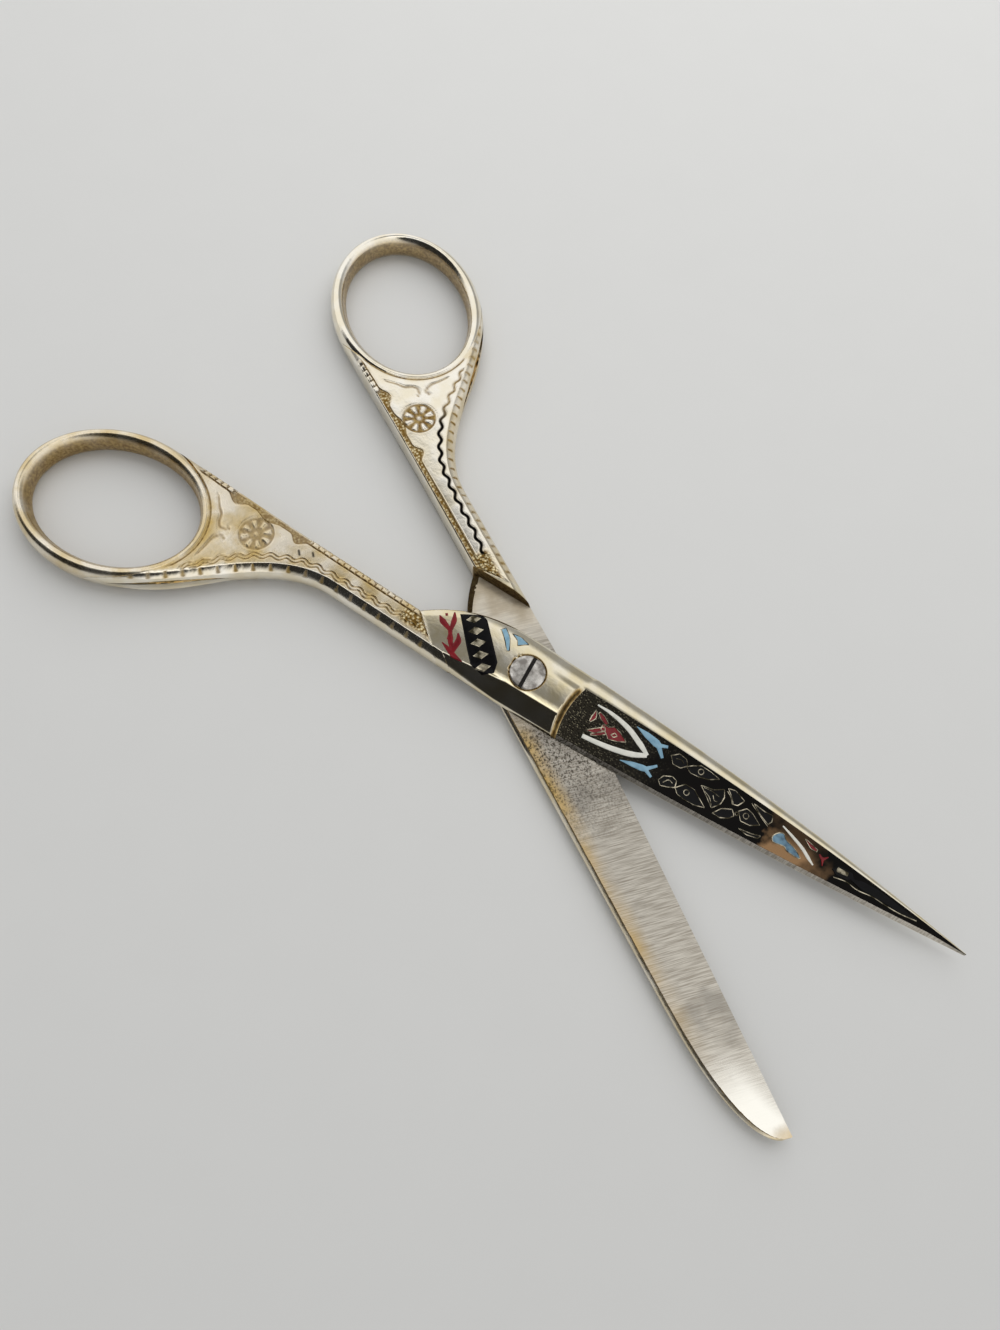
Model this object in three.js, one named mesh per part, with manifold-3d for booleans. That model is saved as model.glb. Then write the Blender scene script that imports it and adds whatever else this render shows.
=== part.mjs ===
// Sewing scissors: two forged halves that turn on one slotted screw, with enamel set in the front blade.
// Millimetres, +Z up. The origin is on the pivot axis, on the surface that the scissors lie on. +X runs
// midway between the blades towards their points.
// Each half is drawn in its own frame: pivot at the origin, x to the point, y to the blade's back, z away
// from the face that rubs on the other half. The two frames coincide when the scissors are shut.

import * as THREE from "three";
import { mergeVertices } from "three/addons/utils/BufferGeometryUtils.js";
import Module from "manifold-3d";

const wasm = await Module();
wasm.setup();

// Driving dimensions: the whole
const OPEN_ANGLE = 28.7;
const RUB_GAP = 0.1;

// Driving dimensions: bows and shanks
const BOW_REACH = 81.5;
const BOW_LONG = 14.5;
const BOW_SHORT = 11.1;
const BOW_TILT = 10.7;
const BOW_GAP = 0.3;
const RIM_WIDTH = 2.5;
const RIM_HEIGHT = 4.4;
const WEB_EDGE = 0.2;
const WEB_SINK = 0.03;
const THROAT_START = 7;
const THROAT_PULL = 27;
const SHANK_GAP = 1.56;
const SHANK_BACK = 5.8;
const SHANK_NECK = 31;
const SHANK_ROUND = [1.7, 1.5];
const SHANK_BREAK = [0.6, 0.45];
const FLANK_ANGLE = 16;
const FLANK_PULL = 13;
const NECK_PULL = 12;

// Driving dimensions: the joint, where the halves cross
const JOINT_THICK = 2.3;
const JOINT_SPINE = 5.3;
const JOINT_ROUND = [2.8, 1.6];
const SPINE_ROUND = [2.2, 0.9];
const RAMP_FOOT = 18.3;
const RAMP_TOP = 2;
const RAMP_ANGLE = 43;
const RAMP_PULL = 6;
const CROWN_PULL = 7;
const SHOULDER_GAP = 0.3;
const SHOULDER_HEEL = 9.8;
const SHOULDER_DRAFT = 0.15;

// Driving dimensions: blades
const POINT_LENGTH = 70.7;
const POINT_RISE = 0.74;
const POINT_HALF = 0.12;
const POINT_BACK_CURVE = 2.15;
const POINT_EDGE_CURVE = 1.4;
const BLUNT_SHORT = 1.4;
const BLUNT_SPINE = 5.25;
const NOSE_RUN = 24.3;
const NOSE_DROP = 0.8;
const BLUNT_EDGE = 1.2;
const HEEL_DEPTH = 5.7;
const STEP_START = 6.7;
const STEP_RUN = 0.8;
const EDGE_THICK = 0.12;
const BEVEL_WIDTH = 0.5;
const BEVEL_THICK = 0.5;
const GRIND_SLOPE = 0.173;
const FACET_WIDTH = 2.2;
const FACET_TIP = 0.13;
const FACET_DROP = 0.65;
const HOLLOW_DEPTH = 0.12;

// Driving dimensions: screw
const SCREW_RADIUS = 1.7;
const HEAD_RADIUS = 2.6;
const HEAD_THICK = 1.1;
const HEAD_CROWN = 0.25;
const CROWN_POWER = 3;
const SLOT_WIDTH = 0.5;
const SLOT_DEPTH = 0.55;
const SLOT_ANGLE = 110;
const TURN_GAP = 0.06;
const HEAD_GAP = 0.15;

// Driving dimensions: enamel
const ENAMEL_DEPTH = 0.3;
const ENAMEL_GAP = 0.06;
const ENAMEL_UNIT = 1;
const PATTERN_LENGTH = 62.5;
const PATTERN_WIDTH = 11;

// How finely curves are cut
const RIM_STEPS = 56;
const RIM_SIDES = 12;
const WEB_STEPS = 9;
const SHANK_STEPS = 4;
const RAMP_STEPS = 8;
const BLADE_STEPS = 16;
const BLADE_CROWDING = 1.35;
const CROWN_STEPS = 3;
const ROUND_SIDES = 48;
const CURVE_STEPS = 6;

const radians = THREE.MathUtils.degToRad;
const mix = THREE.MathUtils.lerp;

function finish(color, roughness, metalness) {
  return new THREE.MeshStandardMaterial({ color, roughness, metalness });
}
const GILT = finish(0xd2bf95, 0.28, 1);
const NICKEL = finish(0xb4afa8, 0.3, 1);
const ENAMEL = {
  red: finish(0x8c1c23, 0.18, 0),
  white: finish(0xdedcd2, 0.2, 0),
  blue: finish(0x7dafcd, 0.2, 0),
  black: finish(0x121212, 0.15, 0),
};

// A closed geometry as a solid that can be cut and joined.
function solid(geometry) {
  const bare = new THREE.BufferGeometry();
  bare.setAttribute("position", geometry.getAttribute("position"));
  bare.setIndex(geometry.index);
  const merged = mergeVertices(bare, 1e-4);
  return new wasm.Manifold(
    new wasm.Mesh({
      numProp: 3,
      vertProperties: merged.attributes.position.array,
      triVerts: new Uint32Array(merged.index.array),
    }),
  );
}

// A solid as a geometry that a mesh can hold.
function geometryOf(body) {
  const mesh = body.getMesh();
  const geometry = new THREE.BufferGeometry();
  geometry.setAttribute("position", new THREE.BufferAttribute(mesh.vertProperties, 3));
  geometry.setIndex(new THREE.BufferAttribute(mesh.triVerts, 1));
  return geometry;
}

// A closed skin over rings of points. The rings share one count and run anticlockwise seen from the last
// ring. A loop of rings closes on itself, and any other skin gets flat ends.
function skin(rings, isLoop) {
  const count = rings[0].length;
  const positions = rings.flat().flatMap((p) => [p.x, p.y, p.z]);
  const faces = [];
  const spans = isLoop ? rings.length : rings.length - 1;
  for (let i = 0; i < spans; i++) {
    const here = i * count;
    const next = ((i + 1) % rings.length) * count;
    for (let j = 0; j < count; j++) {
      const k = (j + 1) % count;
      faces.push(here + j, here + k, next + k, here + j, next + k, next + j);
    }
  }
  if (!isLoop) {
    const last = (rings.length - 1) * count;
    const half = count / 2;
    for (let j = 0; j < half - 1; j++) {
      const far = count - 1 - j;
      faces.push(j, far, far - 1, j, far - 1, j + 1);
      faces.push(last + j, last + far - 1, last + far, last + j, last + j + 1, last + far - 1);
    }
  }
  const geometry = new THREE.BufferGeometry();
  geometry.setAttribute("position", new THREE.Float32BufferAttribute(positions, 3));
  geometry.setIndex(faces);
  return geometry;
}

// Depth below the flat of a quarter-round edge, at a distance in from that edge.
function roundOff(distance, [width, depth]) {
  const t = Math.min(distance / width, 1);
  return depth * (1 - Math.sqrt(1 - (1 - t) ** 2));
}

// The bow: an ellipse whose rim just clears the other bow when the scissors are shut.
const bowTurn = radians(BOW_TILT);
const bowSpan = Math.hypot(BOW_LONG * Math.cos(bowTurn), BOW_SHORT * Math.sin(bowTurn));
const bowRise = Math.hypot(BOW_LONG * Math.sin(bowTurn), BOW_SHORT * Math.cos(bowTurn));
const BOW_CENTRE = new THREE.Vector2(
  bowSpan + RIM_WIDTH / 2 - BOW_REACH,
  -bowRise - RIM_WIDTH / 2 - BOW_GAP / 2,
);

// A point of the bow at an angle of its ellipse, moved out from the middle of the rim.
function bowPoint(angle, out) {
  const point = new THREE.Vector2((BOW_LONG + out) * Math.cos(angle), (BOW_SHORT + out) * Math.sin(angle));
  return point.rotateAround(new THREE.Vector2(), bowTurn).add(BOW_CENTRE);
}

// The angle of the ellipse where its outer edge heads in a direction.
function bowAngle(heading) {
  const local = radians(heading) - bowTurn;
  const out = RIM_WIDTH / 2;
  return Math.atan2(-Math.cos(local) / (BOW_LONG + out), Math.sin(local) / (BOW_SHORT + out));
}

function bowRim() {
  const rings = [];
  for (let i = 0; i < RIM_STEPS; i++) {
    const angle = (-2 * Math.PI * i) / RIM_STEPS;
    const ring = [];
    for (let j = 0; j < RIM_SIDES; j++) {
      const turn = (2 * Math.PI * j) / RIM_SIDES;
      const place = bowPoint(angle, (RIM_WIDTH / 2) * Math.cos(turn));
      ring.push(new THREE.Vector3(place.x, place.y, (RIM_HEIGHT / 2) * Math.sin(turn)));
    }
    rings.push(ring);
  }
  return solid(skin(rings, true));
}

// Edges of the handle. Both leave the bow along its outline.
const TOP_ANGLE = bowAngle(180);
const FLANK_START = bowAngle(FLANK_ANGLE);
const bowTop = bowPoint(TOP_ANGLE, RIM_WIDTH / 2);
const bowFoot = bowPoint(FLANK_START, RIM_WIDTH / 2);
const shankEdge = -SHANK_GAP / 2;
function heading(length, angle) {
  return new THREE.Vector2(length, 0).rotateAround(new THREE.Vector2(), radians(angle));
}
const flank = new THREE.CubicBezierCurve(
  bowFoot,
  bowFoot.clone().add(heading(FLANK_PULL, FLANK_ANGLE)),
  new THREE.Vector2(-SHANK_NECK - NECK_PULL, -SHANK_BACK),
  new THREE.Vector2(-SHANK_NECK, -SHANK_BACK),
);
const throat = new THREE.CubicBezierCurve(
  bowTop,
  new THREE.Vector2(bowTop.x + THROAT_START, bowTop.y),
  new THREE.Vector2(-SHANK_NECK - THROAT_PULL, shankEdge),
  new THREE.Vector2(-SHANK_NECK, shankEdge),
);

// The ramp that widens the joint from the shank to the blade's back.
const rampFoot = new THREE.Vector2(-RAMP_FOOT, shankEdge);
const ramp = new THREE.CubicBezierCurve(
  rampFoot,
  rampFoot.clone().add(heading(RAMP_PULL, RAMP_ANGLE)),
  new THREE.Vector2(-RAMP_TOP - CROWN_PULL, JOINT_SPINE),
  new THREE.Vector2(-RAMP_TOP, JOINT_SPINE),
);

// A blade's outline and length. The pointed one tapers on both sides, and the blunt one keeps its back
// straight and rounds it down to a short nose.
const POINTED_BLADE = {
  length: POINT_LENGTH,
  back: (x) => mix(JOINT_SPINE, POINT_RISE + POINT_HALF, (x / POINT_LENGTH) ** POINT_BACK_CURVE),
  edge: (x) => mix(-HEEL_DEPTH, POINT_RISE - POINT_HALF, (x / POINT_LENGTH) ** POINT_EDGE_CURVE),
};
const BLUNT_LENGTH = POINT_LENGTH - BLUNT_SHORT;
const BLUNT_BLADE = {
  length: BLUNT_LENGTH,
  back: (x) => {
    const t = THREE.MathUtils.clamp(1 - (BLUNT_LENGTH - x) / NOSE_RUN, 0, 1);
    const straight = mix(JOINT_SPINE, BLUNT_SPINE, x / BLUNT_LENGTH);
    return mix(-NOSE_DROP, straight, Math.sqrt(1 - t ** 3));
  },
  edge: (x) => mix(-HEEL_DEPTH, -BLUNT_EDGE, x / BLUNT_LENGTH),
};

// The plane of a blade's ground face, which rises from the cutting edge to the ridge beside the back.
const GRIND_START = STEP_START + STEP_RUN;
function grindPlane(blade) {
  const heel = new THREE.Vector2(GRIND_START, blade.edge(GRIND_START));
  const along = new THREE.Vector2(blade.length, blade.edge(blade.length)).sub(heel).normalize();
  const height = (x, y) => {
    const across = (y - heel.y) * along.x - (x - heel.x) * along.y;
    return BEVEL_THICK + GRIND_SLOPE * across;
  };
  const run = new THREE.Vector3(along.x, along.y, 0);
  const rise = new THREE.Vector3(-along.y, along.x, GRIND_SLOPE).normalize();
  const facing = new THREE.Vector3().crossVectors(run, rise);
  const frame = new THREE.Matrix4().makeBasis(run, rise, facing);
  frame.setPosition(heel.x, heel.y, height(heel.x, heel.y));
  return { height, frame };
}

// Distances of the lengthwise lines of the skin from the inner and the outer edge, close over the rounds.
const HANDLE_ROWS = {
  inner: [0, 0.4, 1, 2.8].map((share) => share * SHANK_BREAK[0]),
  outer: [1, 0.6, 0.3, 0.1, 0].map((share) => share * JOINT_ROUND[0]),
};
const ROWS_BETWEEN = 3;
const ROWS_LIMIT = 0.85;

function rowsAcross(width, rows) {
  const inner = rows.inner.at(-1);
  const fit = Math.min(1, (ROWS_LIMIT * width) / (inner + rows.outer[0]));
  const near = rows.inner.map((d) => (d * fit) / width);
  const far = rows.outer.map((d) => 1 - (d * fit) / width);
  const between = [];
  for (let i = 1; i <= ROWS_BETWEEN; i++) {
    between.push(mix(near.at(-1), far[0], i / (ROWS_BETWEEN + 1)));
  }
  return [...near, ...between, ...far];
}

// One cross line of a half: its points, each with the height of the outer side and of the rubbing side.
function crossLine(inner, outer, rows, place, topAt, underAt) {
  const width = inner.y - outer.y;
  return rowsAcross(width, rows).map((v) => {
    const point = place(v, inner.clone().lerp(outer, v));
    const fromInner = v * width;
    const fromOuter = (1 - v) * width;
    return {
      x: point.x,
      y: point.y,
      top: topAt(point, fromInner, fromOuter),
      under: underAt(v, fromInner, fromOuter),
    };
  });
}

const rounds = (from, to, t) => from.map((value, i) => mix(value, to[i], t));
const RIM_ROUND = [RIM_WIDTH / 2, RIM_HEIGHT / 2 - WEB_SINK - WEB_EDGE / 2];
const stay = (v, point) => point;

// The handle from the rim of the bow to the neck of the shank. Its cross lines start bent round the hole,
// and its edges turn from the rim's round into the shank's over the first part of its length.
const BEND_FADE = 1.5;
const INNER_BLEND = 1 / 3;
const OUTER_BLEND = 1 / 2;
function webLines() {
  const bend = (v) => {
    const angle = mix(TOP_ANGLE, FLANK_START, v);
    return bowPoint(angle, (RIM_WIDTH / 2) * (1 - Math.sin(Math.PI * v)));
  };
  const lines = [];
  for (let i = 0; i < WEB_STEPS; i++) {
    const t = i / WEB_STEPS;
    const fade = (1 - t) ** BEND_FADE;
    const bent = (v, point) => {
      const chord = bowTop.clone().lerp(bowFoot, v);
      return bend(v).sub(chord).multiplyScalar(fade).add(point);
    };
    const thick = RIM_HEIGHT / 2 - WEB_SINK * fade;
    const innerRound = rounds(RIM_ROUND, SHANK_BREAK, Math.min(1, t / INNER_BLEND));
    const outerRound = rounds(RIM_ROUND, SHANK_ROUND, Math.min(1, t / OUTER_BLEND));
    const height = (a, b) => thick - roundOff(a, innerRound) - roundOff(b, outerRound);
    const topAt = (point, a, b) => height(a, b);
    const underAt = (v, a, b) => -height(a, b);
    lines.push(crossLine(throat.getPoint(t), flank.getPoint(t), HANDLE_ROWS, bent, topAt, underAt));
  }
  return lines;
}

// The shank and the joint. Past the shoulder only the half above the rubbing face is left.
function jointLines() {
  const shoulder = -(RAMP_FOOT + SHOULDER_GAP);
  const heel = -SHOULDER_HEEL;
  const rampAt = (t) => ramp.getPoint(t);
  const lines = [];
  const add = (inner, outerX, share, isFull) => {
    const outer = new THREE.Vector2(outerX, -SHANK_BACK);
    const innerRound = rounds(SHANK_BREAK, SPINE_ROUND, share);
    const outerRound = rounds(SHANK_ROUND, JOINT_ROUND, share);
    const thick = mix(RIM_HEIGHT / 2, JOINT_THICK, share);
    const height = (a, b) => thick - roundOff(a, innerRound) - roundOff(b, outerRound);
    const topAt = (point, a, b) => height(a, b);
    const underAt = (v, a, b) => (isFull ? -height(a, b) : RUB_GAP / 2);
    lines.push(crossLine(inner, outer, HANDLE_ROWS, stay, topAt, underAt));
  };
  for (let i = 0; i <= SHANK_STEPS; i++) {
    const t = i / SHANK_STEPS;
    const inner = new THREE.Vector2(mix(-SHANK_NECK, shoulder, t), shankEdge);
    add(inner, mix(-SHANK_NECK, heel, t), 0, true);
  }
  const past = new THREE.Vector2(shoulder + SHOULDER_DRAFT, shankEdge);
  add(past, heel + SHOULDER_DRAFT, 0, false);
  for (let i = 1; i <= RAMP_STEPS; i++) {
    const t = i / RAMP_STEPS;
    add(rampAt(t), mix(heel, -RAMP_TOP, t), t, false);
  }
  return lines;
}

// The flat of the joint over the pivot, then the step down to the ground face and the blade itself.
// Where a blade gets narrow, its facet and its bevel keep to these shares of its width.
const FACET_LIMIT = 0.4;
const BEVEL_LIMIT = 0.3;
const HOLLOW_BLEND = 1 / 4;
function bladeLines(blade, plane) {
  const lines = [];
  const under = () => RUB_GAP / 2;
  const jointHeight = (a, b) => JOINT_THICK - roundOff(a, SPINE_ROUND) - roundOff(b, JOINT_ROUND);
  for (const x of [RAMP_TOP, STEP_START]) {
    const inner = new THREE.Vector2(x, blade.back(x));
    const outer = new THREE.Vector2(x, blade.edge(x));
    lines.push(crossLine(inner, outer, HANDLE_ROWS, stay, (point, a, b) => jointHeight(a, b), under));
  }
  for (let i = 0; i <= BLADE_STEPS; i++) {
    const t = i / BLADE_STEPS;
    const x = mix(GRIND_START, blade.length, 1 - (1 - t) ** BLADE_CROWDING);
    const inner = new THREE.Vector2(x, blade.back(x));
    const outer = new THREE.Vector2(x, blade.edge(x));
    const width = inner.y - outer.y;
    const left = (blade.length - x) / (blade.length - GRIND_START);
    const facet = Math.min(mix(FACET_TIP, FACET_WIDTH, left), FACET_LIMIT * width);
    const bevel = Math.min(BEVEL_WIDTH, BEVEL_LIMIT * width);
    const rows = {
      inner: [0, facet / 3, (2 * facet) / 3, facet],
      outer: [4 * bevel, 3 * bevel, 2 * bevel, bevel, 0],
    };
    const topAt = (point, a, b) => {
      const ground = plane.height(point.x, point.y);
      if (a < facet) {
        const ridge = plane.height(inner.x, inner.y - facet);
        return ridge - FACET_DROP * (ridge / JOINT_THICK) * (1 - a / facet);
      }
      return b < bevel ? mix(EDGE_THICK, ground, b / bevel) : ground;
    };
    const hollowDepth = HOLLOW_DEPTH * Math.min(1, t / HOLLOW_BLEND) * left;
    const hollow = (v) => RUB_GAP / 2 + hollowDepth * Math.sin(Math.PI * v);
    lines.push(crossLine(inner, outer, rows, stay, topAt, hollow));
  }
  return lines;
}

function forging(blade, plane) {
  const lines = [...webLines(), ...jointLines(), ...bladeLines(blade, plane)];
  const rings = lines.map((line) => {
    const over = line.map((p) => new THREE.Vector3(p.x, p.y, p.top));
    const below = line.map((p) => new THREE.Vector3(p.x, p.y, p.under)).reverse();
    return [...over, ...below];
  });
  return solid(skin(rings, false)).add(bowRim());
}

// A round bar or hole on the pivot axis between two heights.
function round(radius, low, high) {
  const geometry = new THREE.CylinderGeometry(radius, radius, high - low, ROUND_SIDES);
  geometry.rotateX(Math.PI / 2);
  geometry.translate(0, 0, (low + high) / 2);
  return solid(geometry);
}

// Outlines of the enamel, as seen from the front, in enamel units. On the joint they are placed from the
// pivot. On the blade, x runs from the start of the ground face, and the pattern stretches with the blade.
// A leaf is pointed at both ends, and its width is taken at its middle.
function leaf([x0, y0], [x1, y1], width) {
  const side = new THREE.Vector2(y0 - y1, x1 - x0).setLength(width);
  const middle = new THREE.Vector2((x0 + x1) / 2, (y0 + y1) / 2);
  const shape = new THREE.Shape();
  shape.moveTo(x0, y0);
  shape.quadraticCurveTo(middle.x - side.x, middle.y - side.y, x1, y1);
  shape.quadraticCurveTo(middle.x + side.x, middle.y + side.y, x0, y0);
  return shape.getPoints(CURVE_STEPS).slice(0, -1);
}

// A straight band between two points.
function band([x0, y0], [x1, y1], width) {
  const start = new THREE.Vector2(x0, y0);
  const end = new THREE.Vector2(x1, y1);
  const side = new THREE.Vector2(y0 - y1, x1 - x0).setLength(width / 2);
  return [
    start.clone().sub(side),
    end.clone().sub(side),
    end.clone().add(side),
    start.clone().add(side),
  ];
}

function ellipse([x, y], long, short) {
  return new THREE.EllipseCurve(x, y, long, short).getPoints(2 * CURVE_STEPS).slice(0, -1);
}

const outline = (...points) => points.map(([x, y]) => new THREE.Vector2(x, y));

// Two arms of one width that meet in a point.
function chevron([x0, y0], [xp, yp], [x1, y1], width) {
  return outline(
    [x0, y0],
    [x0, y0 - width],
    [xp - 2 * width, yp],
    [x1, y1 + width],
    [x1, y1],
    [xp, yp],
  );
}

const JOINT_ENAMEL = [
  ["red", "sprig_bud", ellipse([-13.6, 0.9], 0.4, 0.4)],
  ["red", "sprig_stem", leaf([-14.9, 0], [-11.7, -1.1], 1)],
  ["red", "sprig_leaf", leaf([-11.5, -1.3], [-9.3, -2.9], 1)],
  ["black", "joint_band", band([-10.5, 1.95], [-6.5, -2.45], 3.6)],
  ["blue", "joint_leaf", leaf([-6.6, 3.5], [-4, 0.9], 1)],
  ["blue", "joint_petal", outline([-4.7, 3.6], [-3.5, 2.3], [-2.4, 3.5])],
];
const BLADE_ENAMEL = [
  ["white", "chevron", chevron([3.6, 2.3], [13, -0.5], [3.9, -3.4], 0.85)],
  ["red", "petal_top", leaf([3.8, 0.75], [5.8, 0.1], 0.7)],
  ["red", "petal_foot", leaf([3.9, -1.75], [5.8, -1], 0.7)],
  ["red", "petal_centre", leaf([5.8, -0.45], [9.5, -0.5], 1.4)],
  ["blue", "fin_top", outline([9.6, 2.3], [12.9, 0.85], [15, 0.25], [14, 1.3], [14.9, 2.3])],
  ["blue", "fin_foot", outline([10, -3.2], [15.1, -2.75], [14, -2], [15.1, -1.2], [12.9, -1.65])],
  ["black", "lace", outline([16, 2.4], [17.1, -0.4], [16.2, -3.1], [31.1, -2.2], [32.1, 0.1], [31.1, 2.2])],
  ["blue", "point_leaf", leaf([33.8, 0.2], [37.9, -1.3], 0.9)],
  ["white", "point_bar", band([34.1, 1.55], [39.9, -0.8], 0.6)],
  ["red", "point_petal", leaf([37.5, 1.7], [39.8, 1], 0.6)],
  ["red", "point_bud", leaf([40.4, 1.4], [41.3, -0.1], 0.6)],
  ["black", "eye", ellipse([44, 0.45], 1.05, 0.42)],
  ["black", "point_blade", leaf([45.9, 0.45], [55.5, 0.7], 1.1)],
];

// An outline moved out all round by a gap. Sharp corners move out no further than the limit allows.
const MITRE_LIMIT = 0.2;
function grown(points, gap) {
  return points.map((point, i) => {
    const before = points.at(i - 1);
    const after = points[(i + 1) % points.length];
    const a = point.clone().sub(before).normalize();
    const b = after.clone().sub(point).normalize();
    const bisector = new THREE.Vector2(a.y + b.y, -a.x - b.x);
    const reach = Math.max(bisector.lengthSq() / 2, MITRE_LIMIT);
    return point.clone().addScaledVector(bisector, gap / reach);
  });
}

function slab(points, low, high) {
  const facing = THREE.ShapeUtils.isClockWise(points) ? [...points].reverse() : points;
  const shape = new THREE.Shape(facing);
  const geometry = new THREE.ExtrudeGeometry(shape, { depth: high - low, bevelEnabled: false });
  return geometry.translate(0, 0, low);
}

// The frame that each group of enamel lies in, and how an outline gets into it.
function enamelBeds(plane) {
  const inverse = plane.frame.clone().invert();
  const stretch = (POINT_LENGTH - GRIND_START) / PATTERN_LENGTH;
  const spread = (JOINT_SPINE + HEEL_DEPTH) / PATTERN_WIDTH;
  const onJoint = (drawn) => drawn.clone().multiplyScalar(ENAMEL_UNIT);
  const onPlane = (drawn) => {
    const x = GRIND_START + stretch * ENAMEL_UNIT * drawn.x;
    const y = spread * ENAMEL_UNIT * drawn.y;
    const point = new THREE.Vector3(x, y, plane.height(x, y)).applyMatrix4(inverse);
    return new THREE.Vector2(point.x, point.y);
  };
  const placed = (pieces, place) => pieces.map(([colour, name, points]) => [colour, name, points.map(place)]);
  const jointFrame = new THREE.Matrix4().makeTranslation(0, 0, JOINT_THICK);
  return [
    { frame: jointFrame, pieces: placed(JOINT_ENAMEL, onJoint) },
    { frame: plane.frame, pieces: placed(BLADE_ENAMEL, onPlane) },
  ];
}

// The front half, with its clearance hole, the recess for the screw's head and the beds of the enamel.
function pointedHalf() {
  const plane = grindPlane(POINTED_BLADE);
  const headFloor = JOINT_THICK - HEAD_THICK - TURN_GAP;
  let body = forging(POINTED_BLADE, plane)
    .subtract(round(SCREW_RADIUS + TURN_GAP, -JOINT_THICK, 2 * JOINT_THICK))
    .subtract(round(HEAD_RADIUS + HEAD_GAP, headFloor, 2 * JOINT_THICK));
  const group = new THREE.Group();
  for (const { frame, pieces } of enamelBeds(plane)) {
    const bed = new THREE.Group();
    bed.applyMatrix4(frame);
    for (const [colour, name, points] of pieces) {
      const pocket = slab(grown(points, ENAMEL_GAP), -ENAMEL_DEPTH - ENAMEL_GAP, JOINT_THICK);
      body = body.subtract(solid(pocket.applyMatrix4(frame)));
      const fill = new THREE.Mesh(slab(points, -ENAMEL_DEPTH, 0), ENAMEL[colour]);
      fill.name = `enamel_${colour}_${name}`;
      bed.add(fill);
    }
    group.add(bed);
  }
  const half = new THREE.Mesh(geometryOf(body), GILT);
  half.name = "pointed_half";
  group.add(half);
  return group;
}

// The back half is the same forging turned over, with the screw's tapped hole right through.
function bluntHalf() {
  const hole = round(SCREW_RADIUS + TURN_GAP, -JOINT_THICK, 2 * JOINT_THICK);
  const body = forging(BLUNT_BLADE, grindPlane(BLUNT_BLADE)).subtract(hole);
  const half = new THREE.Mesh(geometryOf(body), GILT);
  half.name = "blunt_half";
  half.rotation.x = Math.PI;
  return half;
}

// The slotted screw. Its end is filed flush with the back half's outer face.
function pivotScrew() {
  const tail = -JOINT_THICK;
  const seat = JOINT_THICK - HEAD_THICK;
  const rim = JOINT_THICK;
  const crown = rim + HEAD_CROWN;
  const profile = [
    [0, tail],
    [SCREW_RADIUS, tail],
    [SCREW_RADIUS, seat],
    [HEAD_RADIUS, seat],
  ];
  for (let i = CROWN_STEPS; i >= 0; i--) {
    const share = i / CROWN_STEPS;
    profile.push([share * HEAD_RADIUS, mix(crown, rim, share ** CROWN_POWER)]);
  }
  const turned = new THREE.LatheGeometry(profile.map(([r, z]) => new THREE.Vector2(r, z)), ROUND_SIDES);
  turned.rotateX(Math.PI / 2);
  const slot = new THREE.BoxGeometry(SLOT_WIDTH, 3 * HEAD_RADIUS, 2 * SLOT_DEPTH);
  slot.rotateZ(radians(SLOT_ANGLE - 90));
  slot.translate(0, 0, crown);
  const screw = new THREE.Mesh(geometryOf(solid(turned).subtract(solid(slot))), NICKEL);
  screw.name = "pivot_screw";
  return screw;
}

const front = pointedHalf();
front.rotation.z = radians(OPEN_ANGLE / 2);
const back = new THREE.Group();
back.add(bluntHalf());
back.rotation.z = -radians(OPEN_ANGLE / 2);

const scissors = new THREE.Group();
scissors.add(front, back, pivotScrew());
for (const piece of scissors.children) {
  piece.position.z = JOINT_THICK;
}

export default scissors;
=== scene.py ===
"""Sewing scissors: carved and plated metal, enamel and ground steel over the solids of the frame.

Lengths are in millimetres until a mesh is made. Each half is worked out in its own frame, with the pivot at
the origin, x to the point, y to the blade's back and z away from the face that rubs on the other half.
"""

import math

import bmesh
import bpy
import numpy as np
from mathutils import Matrix, Vector


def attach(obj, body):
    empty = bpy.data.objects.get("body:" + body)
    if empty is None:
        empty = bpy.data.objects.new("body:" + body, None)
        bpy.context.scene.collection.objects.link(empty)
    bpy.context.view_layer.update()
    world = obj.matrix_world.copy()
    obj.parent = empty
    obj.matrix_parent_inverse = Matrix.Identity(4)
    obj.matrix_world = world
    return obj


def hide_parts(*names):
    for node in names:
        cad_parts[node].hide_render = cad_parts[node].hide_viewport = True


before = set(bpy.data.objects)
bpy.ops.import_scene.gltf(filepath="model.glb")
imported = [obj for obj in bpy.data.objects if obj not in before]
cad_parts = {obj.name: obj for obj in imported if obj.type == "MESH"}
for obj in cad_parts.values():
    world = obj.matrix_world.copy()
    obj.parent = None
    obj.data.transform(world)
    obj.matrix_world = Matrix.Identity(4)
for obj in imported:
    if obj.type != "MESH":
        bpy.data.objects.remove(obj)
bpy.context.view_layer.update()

MM = 0.001

# The whole
OPEN_ANGLE = 28.7
RUB_GAP = 0.1

# Bows and shanks
BOW_REACH = 81.5
BOW_LONG = 14.5
BOW_SHORT = 11.1
BOW_TILT = 10.7
BOW_GAP = 0.3
RIM_WIDTH = 2.5
RIM_HEIGHT = 4.4
WEB_EDGE = 0.2
WEB_SINK = 0.03
THROAT_START = 7.0
THROAT_PULL = 27.0
SHANK_GAP = 1.56
SHANK_BACK = 5.8
SHANK_NECK = 31.0
SHANK_BREAK = np.array([0.6, 0.45])
FLANK_FORM = np.array([1.4, 1.9])
RIDGE_BREAK = 0.35
HANDLE_CROWN = 0.1
FLANK_ANGLE = 16.0
FLANK_PULL = 13.0
NECK_PULL = 12.0

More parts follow.
